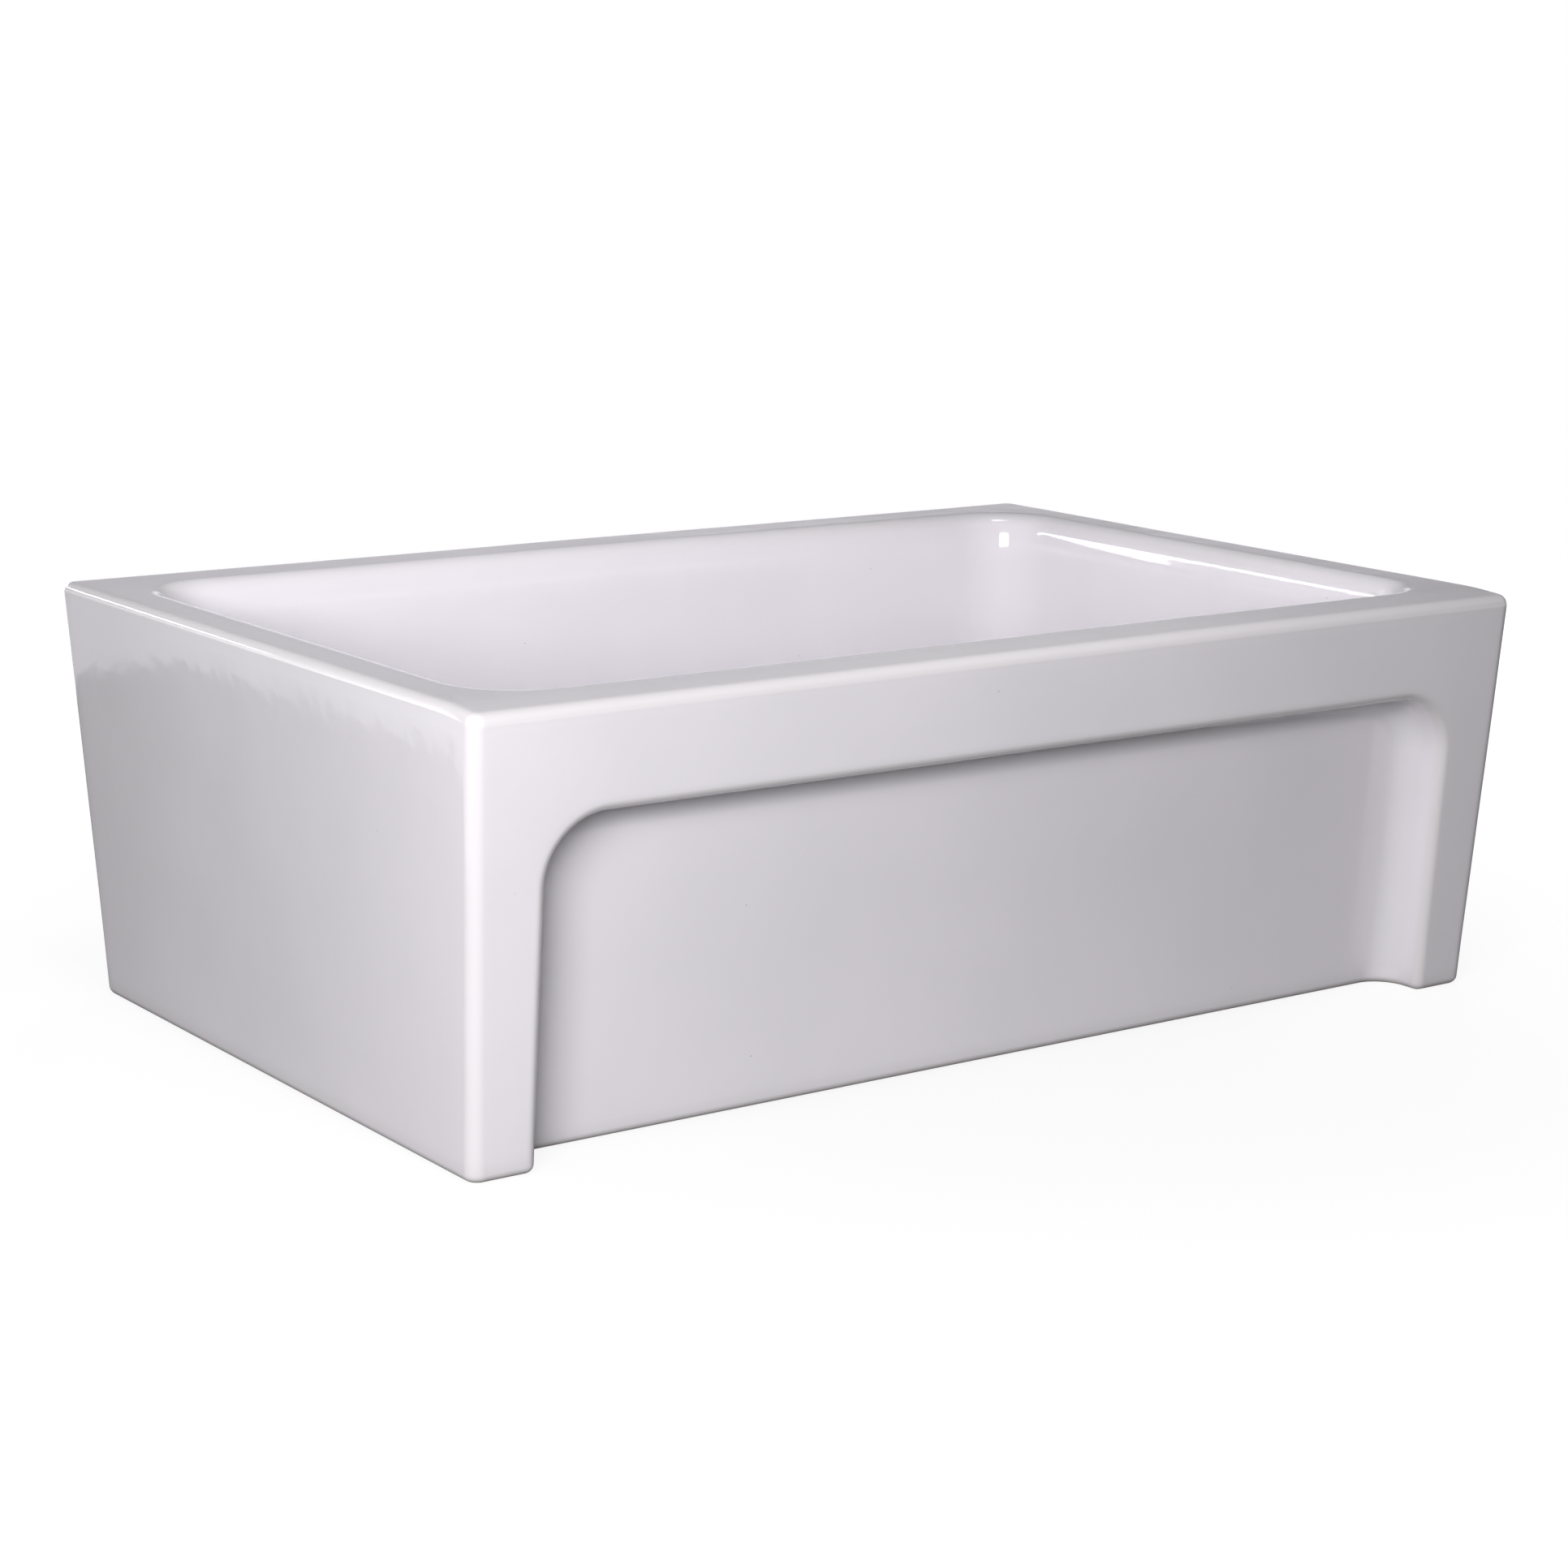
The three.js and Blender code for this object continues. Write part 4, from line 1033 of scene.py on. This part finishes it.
class SINK_OT_guide(bpy.types.Operator):
    """Make the three-armed guide for the stem, in the outlet"""

    bl_idname = "sink.guide"
    bl_label = "Stem guide"

    def execute(self, context):
        s = context.scene.sink_strainer
        outer, bottom, top = box_of("stem_guide")
        ring, bore = outer - GUIDE_RING, s.stem / 2 + STEM_CLEARANCE
        hub, half = bore + GUIDE_HUB, GUIDE_ARM / 2
        windows = []
        for third in range(3):
            start, end = third * 120, third * 120 + 120
            reach, near = np.degrees(asin(half / ring)), np.degrees(asin(half / hub))
            windows.append(arc((0, 0), ring, start + reach, end - reach, 24)
                           + arc((0, 0), hub, end - near, start + near, 10))
        piece = plate("stem_spider", [circle(outer, 96), circle(bore, 40), *windows], bottom, top,
                      mm(0.3))
        finished(piece, "sink", "stainless", material_for("stainless", context), "stem_guide",
                 sharp_at=30)
        return {"FINISHED"}


class SINK_OT_seals(bpy.types.Operator):
    """Make the putty ring, the gasket and the two washers"""

    bl_idname = "sink.seals"
    bl_label = "Seals and washers"

    def execute(self, context):
        for node, width, ease, slot in (
                ("flange_seal", 8.2, 0.4, "putty"), ("rubber_gasket", 13, 0.9, "black_rubber"),
                ("friction_washer", 12, 0.25, "fibre"),
                ("tailpiece_washer", 4.5, 0.7, "polythene")):
            outer, bottom, top = box_of(node)
            piece = washer(node + "_ring", outer - mm(width), outer, bottom, top, mm(ease))
            finished(piece, "sink", slot, material_for(slot, context), node)
        return {"FINISHED"}


class SINK_OT_nuts(bpy.types.Operator):
    """Make the lugged lock nut and the coupling nut"""

    bl_idname = "sink.nuts"
    bl_label = "Lock nut and coupling nut"

    def execute(self, context):
        s, zinc = context.scene.sink_strainer, material_for("zinc", context)
        outer, bottom, top = box_of("lock_nut")
        inner = outer - LOCK_NUT_RING
        web, notch, pitch = inner + LOCK_NUT_WEB, LUG_NOTCH / 2, 360 / LUGS
        outline = []
        for lug in range(LUGS):
            start, end = lug * pitch + notch, lug * pitch + pitch - notch
            outline += arc((0, 0), outer, start + 1, end - 1, 8)
            outline += arc((0, 0), web, end + 1, end + 2 * notch - 1, 8)
        piece = plate("lock_nut_lugs", [outline, circle(inner, 96)], bottom, top - mm(1), mm(0.6))
        sole = washer("sole", inner, outer, top - LOCK_NUT_SOLE, top, mm(0.5))
        combine(piece, sole, "UNION")
        finished(piece, "sink", "zinc", zinc, "lock_nut", sharp_at=30)

        low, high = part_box("coupling_nut")
        flat = high.x
        point = flat / cos(radians(30))
        thread, bore = flat - COUPLING_WALL, flat - COUPLING_LEDGE
        hexagon = arc((0, 0), point, 30, 330, 5)
        piece = plate("coupling_hex", [hexagon], low.z, high.z, mm(0.2))
        blank = lathe("blank", [(0, low.z), (flat - mm(0.5), low.z), (point, low.z + mm(2)),
                                (point, high.z - mm(2)), (flat - mm(0.5), high.z), (0, high.z)])
        combine(piece, blank, "INTERSECT")
        shelf = low.z + COUPLING_SHELF
        rows = thread_rows(thread, shelf + mm(0.8), high.z - mm(1), s.thread_pitch)
        below, above = low.z - mm(1), high.z + mm(1)
        tool = lathe("tool", [(0, below), (bore, below), (bore, shelf), (thread, shelf), *rows,
                              (thread, high.z - mm(0.6)), (thread + mm(1.2), above), (0, above)])
        combine(piece, tool, "DIFFERENCE")
        finished(piece, "sink", "zinc", zinc, "coupling_nut", sharp_at=30)
        return {"FINISHED"}


class SINK_OT_basket(bpy.types.Operator):
    """Make the removable basket with its slots and holes, and the stem's bushing and O-ring"""

    bl_idname = "sink.basket"
    bl_label = "Basket"

    def execute(self, context):
        s = context.scene.sink_strainer
        rim, floor, top = box_of("basket_cup")
        cup = strainer_radii(context)[2]
        mouth = cup - s.basket_gap
        foot = mouth - s.basket_taper
        ledge = top - s.rim_thickness
        bush_outer, bush_bottom, bush_top = box_of("stem_bushing")
        bush = bush_outer - BUSHING_FLANGE
        hole = bush + s.gap
        centre = (foot - s.basket_cove, floor + s.basket_cove)
        wall = s.basket_wall
        outline = [(hole, floor)]
        outline += arc(centre, s.basket_cove, -90, 0, 8)
        outline += [(mouth - mm(0.15), ledge - wall - mm(1)), (mouth + mm(0.3), ledge - wall),
                    (cup - s.gap, ledge - wall), (rim - mm(0.1), ledge), (rim, ledge + mm(0.4))]
        outline += arc((rim - mm(0.6), top - mm(0.6)), mm(0.6), 0, 90, 4)
        outline += arc((mouth - wall + mm(1), top - mm(1)), mm(1), 90, 180, 5)
        outline += arc(centre, s.basket_cove - wall, 0, -90, 8)
        outline += [(hole, floor + wall)]
        piece = lathe("basket", outline, 144)

        # Slots with round ends in the wall, and two rings of round holes in the floor.
        bottom_z, top_z = centre[1] + SLOT_FOOT, ledge - SLOT_HEAD
        half = s.slot_width / 2
        stadium = arc((0, top_z - half), half, 0, 180, 8)
        stadium += arc((0, bottom_z + half), half, 180, 360, 8)
        near, far = foot / 2, rim
        cutters, faces = [], []
        for slot in range(s.slots):
            turn = Matrix.Rotation(2 * pi * slot / s.slots, 3, "Z")
            add_prism(cutters, faces, [[turn @ Vector((x, y, z)) for y, z in stadium]
                                       for x in (near, far)])
        step = (centre[0] - bush_outer) / (len(HOLE_RINGS) + 1)
        for number, holes in enumerate(HOLE_RINGS):
            ring = bush_outer + (number + 1) * step
            for x, y in circle(ring, holes):
                loop = circle(s.hole / 2, HOLE_SIDES, (x, y))
                add_prism(cutters, faces, [[Vector((x, y, z)) for x, y in loop]
                                           for z in (floor - wall, floor + 2 * wall)])
        combine(piece, new_piece("cutters", cutters, faces), "DIFFERENCE")
        finished(piece, "basket", "stainless", material_for("stainless", context), "basket_cup",
                 sharp_at=30)

        bore = s.stem / 2 + STEM_CLEARANCE
        collar = bush_bottom + BUSHING_FLANGE_HEIGHT
        outline = eased([(bore, bush_bottom), (bush_outer, bush_bottom), (bush_outer, collar),
                         (bush, collar), (bush, bush_top), (bore, bush_top)], mm(0.4))
        piece = lathe("bushing", outline, 64)
        finished(piece, "basket", "brass", material_for("brass", context), "stem_bushing")
        outer, low_z, high_z = box_of("stem_o_ring")
        section = (high_z - low_z) / 2
        outline = arc((outer - section, (low_z + high_z) / 2), section, 0, 330, 11)
        piece = lathe("o_ring", outline, 64)
        finished(piece, "basket", "black_rubber", material_for("black_rubber", context),
                 "stem_o_ring")
        return {"FINISHED"}


class SINK_OT_stopper(bpy.types.Operator):
    """Make the knob, the stem and the rubber stopper under the basket"""

    bl_idname = "sink.stopper"
    bl_label = "Stopper"

    def execute(self, context):
        s = context.scene.sink_strainer
        steel = material_for("stainless", context)
        outer, bottom, top = box_of("knob")
        socket, socket_top = s.stem / 2 + s.gap, bottom + KNOB_SOCKET
        edge, neck = KNOB_EDGE, socket + KNOB_NECK
        crown = top - edge
        outline = [(0, socket_top), (socket, socket_top), (socket, bottom + mm(0.4)),
                   (neck - mm(0.5), bottom), (neck, bottom + mm(0.5)),
                   (neck - mm(0.35), bottom + mm(2.2)),
                   (neck + mm(0.2), bottom + mm(4.4)), (neck + mm(1.6), bottom + mm(6.2)),
                   (neck + mm(3.4), bottom + mm(7.0))]
        outline += arc((outer - edge, crown), edge, -62, 90, 14)
        outline += [(outer * 0.6, top - mm(0.15)), (outer * 0.45, top - mm(0.6)),
                    (outer * 0.28, top - mm(1.2)), (outer * 0.12, top - mm(1.5)),
                    (0, top - mm(1.6))]
        finished(lathe("pull_knob", outline, 96), "stopper", "stainless", steel, "knob")

        radius, bottom, top = box_of("stem")
        thread = bottom + mm(0.8), bottom + STEM_THREAD
        outline = [(0, bottom), (radius - mm(0.8), bottom)]
        outline += thread_rows(radius, *thread, STEM_PITCH)
        outline += [(radius, (thread[1] + top) / 2), (radius, top - mm(0.4)),
                    (radius - mm(0.4), top), (0, top)]
        piece = lathe("stem_rod", outline, 48)
        cut_thread(piece, radius, *thread, STEM_PITCH, STEM_THREAD_DEPTH)
        finished(piece, "stopper", "stainless", steel, "stem")

        bore = radius + s.gap
        outer, bottom, top = box_of("seal_washer")
        piece = washer("cap_washer", bore, outer, bottom, top, mm(0.45))
        finished(piece, "stopper", "stainless", steel, "seal_washer")

        # The rubber: a plug that centres itself in the outlet and a soft lip that seals the dish.
        outer, bottom, top = box_of("stopper_seal")
        outlet = s.outlet / 2
        slope = s.dish_drop / (strainer_radii(context)[2] - s.body_cove - outlet)
        lip = bottom + mm(0.3) + (outer - outlet) * slope
        outline = eased([(bore, bottom), (outlet - mm(1.4), bottom),
                         (outlet - mm(1), bottom + mm(0.5)),
                         (outlet, bottom + mm(0.3)), (outer, lip), (outer, top - mm(1.6)),
                         (outer - mm(1.6), top - mm(0.2)), (outer - mm(3), top - mm(0.8)),
                         (outer - mm(4.4), top), (bore, top)], mm(0.5))
        finished(lathe("rubber_plug", outline, 96), "stopper", "black_rubber",
                 material_for("black_rubber", context), "stopper_seal")

        low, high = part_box("stem_nut")
        flat = high.x
        point = flat / cos(radians(30))
        hexagon = arc((0, 0), point, 30, 330, 5)
        piece = plate("hex_nut", [hexagon, circle(bore, 32)], low.z, high.z, mm(0.15))
        blank = lathe("blank", [(0, low.z), (flat, low.z), (point, low.z + mm(0.7)),
                                (point, high.z - mm(0.7)), (flat, high.z), (0, high.z)], 48)
        combine(piece, blank, "INTERSECT")
        finished(piece, "stopper", "brass", material_for("brass", context), "stem_nut", sharp_at=30)
        return {"FINISHED"}


# Where the lamps stand and what they face, in metres. The strip and the small box stand behind
# the sink, face the front and are turned about their own axes.
KEY_PLACE, KEY_TARGET = (-1.17, -1.12, 0.60), (-0.12, -0.10, 0.14)
TOP_PLACE, TOP_TARGET = (-0.25, -0.42, 1.5), (-0.02, 0.05, 0.1)
FILL_PLACE, FILL_TARGET = (1.3, 1.2, 0.5), (0.1, 0.0, 0.13)
STRIP_PLACE, STRIP_TARGET, STRIP_TURN = (-0.52, 0.9, 0.450), (-0.52, 0.0, 0.450), 13.5
BOX_PLACE, BOX_TARGET, BOX_TURN = (-0.345, 0.9, 0.352), (-0.345, 0.0, 0.352), 12

# The camera's place and the width of its film in millimetres, and its angles in degrees.
CAMERA_PLACE = (-1247.0, -1729.3, 591.4)
CAMERA_AZIMUTH, CAMERA_ELEVATION, CAMERA_ROLL = -35.70, 12.16, 0.77
FILM_WIDTH = 36

# The table top's hole clears the nuts under the drain.
TABLE_HOLE_MARGIN, TABLE_HOLE_STEPS = mm(22), 64


class SINK_OT_studio(bpy.types.Operator):
    """Make the table top, the lights, the white surroundings and the camera"""

    bl_idname = "sink.studio"
    bl_label = "Studio"

    def execute(self, context):
        settings = context.scene.sink_studio
        self.make_floor(settings, context.scene.sink_basin)
        self.make_world(context, settings)
        self.make_light("Key light", KEY_PLACE, KEY_TARGET, settings.key_width, settings.key_height,
                        settings.key_power)
        # The strip is mirrored as a thin streak along the right wall, the box as its broad end.
        strip = self.make_light("Strip light", STRIP_PLACE, STRIP_TARGET, settings.strip_length,
                                settings.strip_height, settings.strip_power,
                                roll=radians(STRIP_TURN))
        box = self.make_light("Small box light", BOX_PLACE, BOX_TARGET, settings.box_width,
                              settings.box_height, settings.box_power, roll=radians(BOX_TURN))
        strip.visible_diffuse = box.visible_diffuse = False
        self.make_light("Top light", TOP_PLACE, TOP_TARGET, settings.top_width, settings.top_depth,
                        settings.top_power, spread=settings.top_beam)
        # Lights the rear and the right end, and isn't mirrored in the rim.
        fill = self.make_light("Fill light", FILL_PLACE, FILL_TARGET, settings.fill_width,
                               settings.fill_height, settings.fill_power)
        fill.visible_glossy = False
        self.make_camera(context, settings)
        context.scene.view_settings.view_transform = "Standard"
        return {"FINISHED"}

    def make_floor(self, settings, basin):
        """A pale table top with a hole under the drain, which hangs through it."""
        hole = basin.drain_hole / 2 + TABLE_HOLE_MARGIN
        steps = TABLE_HOLE_STEPS
        inner = circle(hole, steps)
        square = [(cos(a) / max(abs(cos(a)), abs(sin(a))), sin(a) / max(abs(cos(a)), abs(sin(a))))
                  for a in (2 * pi * i / steps for i in range(steps))]
        outer = [(x * (settings.table_reach if x > 0 else settings.table_left),
                  y * (settings.table_rear if y > 0 else settings.table_reach)) for x, y in square]
        vertices = [(x, y, 0) for x, y in inner + outer]
        faces = [(i, steps + i, steps + (i + 1) % steps, (i + 1) % steps) for i in range(steps)]
        floor = new_piece("table_top", vertices, faces)
        material, tree, place = start_material("Pale painted board")
        fine = add_node(tree, "ShaderNodeTexNoise",
                        {"Vector": place, "Scale": every(2), "Detail": 2.0}).outputs["Fac"]
        relief = add_node(tree, "ShaderNodeBump",
                          {"Height": fine, "Strength": 1.0, "Distance": mm(0.02)}).outputs["Normal"]
        board = add_node(tree, "ShaderNodeBsdfDiffuse",
                         {"Color": linear("#636264"), "Normal": relief})
        # The camera and clear reflections see it lifted to white, but for the sink's shadow.
        path = add_node(tree, "ShaderNodeLightPath")
        seen = add_node(tree, "ShaderNodeMath", {0: path.outputs["Is Transmission Ray"],
                                                 1: path.outputs["Is Camera Ray"]},
                        operation="MAXIMUM").outputs[0]
        mirrored = add_node(tree, "ShaderNodeMath", {0: path.outputs["Is Glossy Ray"], 1: 0.1},
                            operation="MULTIPLY").outputs[0]
        lift = add_node(tree, "ShaderNodeMath", {0: seen, 1: mirrored},
                        operation="MAXIMUM").outputs[0]
        away = add_node(tree, "ShaderNodeVectorMath", {0: place},
                        operation="LENGTH").outputs["Value"]
        far = add_node(tree, "ShaderNodeMapRange",
                       {"Value": away, "From Min": 0.25, "From Max": 0.9,
                        "To Min": 0.85, "To Max": 1.0}).outputs["Result"]
        strength = add_node(tree, "ShaderNodeMath", {0: lift, 1: far},
                            operation="MULTIPLY").outputs[0]
        glow = add_node(tree, "ShaderNodeEmission", {"Color": (1, 1, 1, 1), "Strength": strength})
        both = add_node(tree, "ShaderNodeAddShader", {0: board.outputs[0], 1: glow.outputs[0]})
        add_node(tree, "ShaderNodeOutputMaterial", {"Surface": both.outputs[0]})
        floor.data.materials.append(material)

    def make_world(self, context, settings):
        """White where it is seen, a backdrop and walls where it is mirrored, and a soft light."""
        world = bpy.data.worlds.new("Studio")
        world.use_nodes = True
        tree = world.node_tree
        tree.nodes.clear()
        toward = add_node(tree, "ShaderNodeTexCoord").outputs["Generated"]
        parts = add_node(tree, "ShaderNodeSeparateXYZ", {"Vector": toward}).outputs
        height = parts["Z"]
        # The walls are paler than the ceiling, so upright faces get more of the soft light. Nothing
        # below the table shines, so faces turned down stay dark.
        upper = add_node(tree, "ShaderNodeMapRange",
                         {"Value": height, "From Min": 0.15, "From Max": 0.75,
                          "To Min": settings.walls, "To Max": settings.ceiling},
                         interpolation_type="SMOOTHSTEP").outputs["Result"]
        above = add_node(tree, "ShaderNodeMapRange",
                         {"Value": height, "From Min": -0.03, "From Max": 0.03},
                         interpolation_type="SMOOTHSTEP").outputs["Result"]
        shine = add_node(tree, "ShaderNodeMath", {0: upper, 1: above},
                         operation="MULTIPLY").outputs[0]
        soft = add_node(tree, "ShaderNodeBackground",
                        {"Color": linear("#F9F8FB"), "Strength": shine})
        # Gloss mirrors the white backdrop up to its top edge, then the grey wall over it, which is
        # paler to the left, then the lamps' haze.
        backdrop = add_node(tree, "ShaderNodeMapRange",
                            {"Value": height, "From Min": 0.10, "From Max": 0.15,
                             "To Min": 1.0, "To Max": settings.grey_wall}).outputs["Result"]
        paler = add_node(tree, "ShaderNodeMapRange",
                         {"Value": parts["X"], "From Min": 0.5, "From Max": 0.62,
                          "To Min": settings.grey_wall_left, "To Max": 0.0}).outputs["Result"]
        haze = add_node(tree, "ShaderNodeMapRange",
                        {"Value": height, "From Min": 0.35, "From Max": 0.55,
                         "To Max": settings.haze}).outputs["Result"]
        # A tall window at the rear left shines along the left rim's outer edge, most at its front.
        window = add_node(tree, "ShaderNodeMapRange",
                          {"Value": parts["Y"], "From Min": 0.91, "From Max": 0.85,
                           "To Min": settings.window_far,
                           "To Max": settings.window}).outputs["Result"]
        for axis, start, end in (("Y", 0.80, 0.83), ("X", 0.1, -0.1), ("Z", 0.5, 0.15),
                                 ("Z", -0.03, 0.03)):
            shade = add_node(tree, "ShaderNodeMapRange", {"Value": parts[axis], "From Min": start,
                                                          "From Max": end}).outputs["Result"]
            window = add_node(tree, "ShaderNodeMath",
                              {0: window, 1: shade}, operation="MULTIPLY").outputs[0]
        around = backdrop
        for part in (paler, window, haze):
            around = add_node(tree, "ShaderNodeMath", {0: around, 1: part},
                              operation="ADD").outputs[0]
        path = add_node(tree, "ShaderNodeLightPath")
        mirror = add_node(tree, "ShaderNodeBackground",
                          {"Color": linear("#F7F6FC"), "Strength": around})
        lit = add_node(tree, "ShaderNodeMixShader", {0: path.outputs["Is Glossy Ray"],
                                                     1: soft.outputs[0], 2: mirror.outputs[0]})
        straight = add_node(tree, "ShaderNodeMath", {0: path.outputs["Is Camera Ray"],
                                                     1: path.outputs["Is Transmission Ray"]},
                            operation="MAXIMUM").outputs[0]
        white = add_node(tree, "ShaderNodeBackground", {"Color": (1, 1, 1, 1)})
        mixed = add_node(tree, "ShaderNodeMixShader",
                         {0: straight, 1: lit.outputs[0], 2: white.outputs[0]})
        add_node(tree, "ShaderNodeOutputWorld", {"Surface": mixed.outputs[0]})
        context.scene.world = world

    def make_light(self, name, place, target, width, height, watts, spread=pi, roll=0):
        """A flat lamp that the camera doesn't see."""
        lamp = bpy.data.lights.new(name, "AREA")
        lamp.shape, lamp.size, lamp.size_y, lamp.energy = "RECTANGLE", width, height, watts
        lamp.spread = spread
        light = bpy.data.objects.new(name, lamp)
        light.location = place
        aim = (Vector(target) - Vector(place)).to_track_quat("-Z", "Y")
        light.rotation_euler = (aim @ Quaternion((0, 0, 1), roll)).to_euler()
        light.visible_camera = False
        bpy.context.scene.collection.objects.link(light)
        return light

    def make_camera(self, context, settings):
        """Set low at the front left, as far off as the photograph's perspective says."""
        camera = bpy.data.cameras.new("Camera")
        camera.sensor_width, camera.lens = FILM_WIDTH, settings.focal_length
        azimuth, elevation, roll = (radians(a)
                                    for a in (CAMERA_AZIMUTH, CAMERA_ELEVATION, CAMERA_ROLL))
        back = Vector((sin(azimuth) * cos(elevation), -cos(azimuth) * cos(elevation),
                       sin(elevation)))
        right = (-back).cross(Vector((0, 0, 1))).normalized()
        up = right.cross(-back)
        rolled_right = cos(roll) * right + sin(roll) * up
        rolled_up = -sin(roll) * right + cos(roll) * up
        holder = bpy.data.objects.new("Camera", camera)
        matrix = Matrix((rolled_right, rolled_up, back)).transposed().to_4x4()
        matrix.translation = [mm(value) for value in CAMERA_PLACE]
        holder.matrix_world = matrix
        context.scene.collection.objects.link(holder)
        context.scene.camera = holder


class SINK_PT_panel(bpy.types.Panel):
    """Lists the sink's pieces, sizes and colours"""

    bl_idname = "SINK_PT_panel"
    bl_label = "Farmhouse sink"
    bl_space_type = "VIEW_3D"
    bl_region_type = "UI"
    bl_category = "Sink"

    def draw(self, context):
        for operator in OPERATORS:
            self.layout.operator(operator.bl_idname)
        for group in (context.scene.sink_basin, context.scene.sink_strainer,
                      context.scene.sink_finishes, context.scene.sink_studio):
            column = self.layout.box().column(align=True)
            for name in group.bl_rna.properties.keys():
                if name not in ("name", "rna_type"):
                    column.prop(group, name)


GROUPS = {
    "sink_basin": BasinSizes,
    "sink_strainer": StrainerSizes,
    "sink_finishes": Finishes,
    "sink_studio": StudioSettings,
}
OPERATORS = (SINK_OT_basin, SINK_OT_strainer, SINK_OT_guide, SINK_OT_seals, SINK_OT_nuts,
             SINK_OT_basket, SINK_OT_stopper, SINK_OT_studio)


def register():
    for cls in (*GROUPS.values(), *OPERATORS, SINK_PT_panel):
        bpy.utils.register_class(cls)
    for name, group in GROUPS.items():
        setattr(bpy.types.Scene, name, PointerProperty(type=group))


def unregister():
    for name in GROUPS:
        delattr(bpy.types.Scene, name)
    for cls in (SINK_PT_panel, *reversed(OPERATORS), *reversed(tuple(GROUPS.values()))):
        bpy.utils.unregister_class(cls)


def main():
    register()
    bpy.ops.sink.basin()
    bpy.ops.sink.strainer()
    bpy.ops.sink.guide()
    bpy.ops.sink.seals()
    bpy.ops.sink.nuts()
    bpy.ops.sink.basket()
    bpy.ops.sink.stopper()
    bpy.ops.sink.studio()


if __name__ == "__main__":
    main()
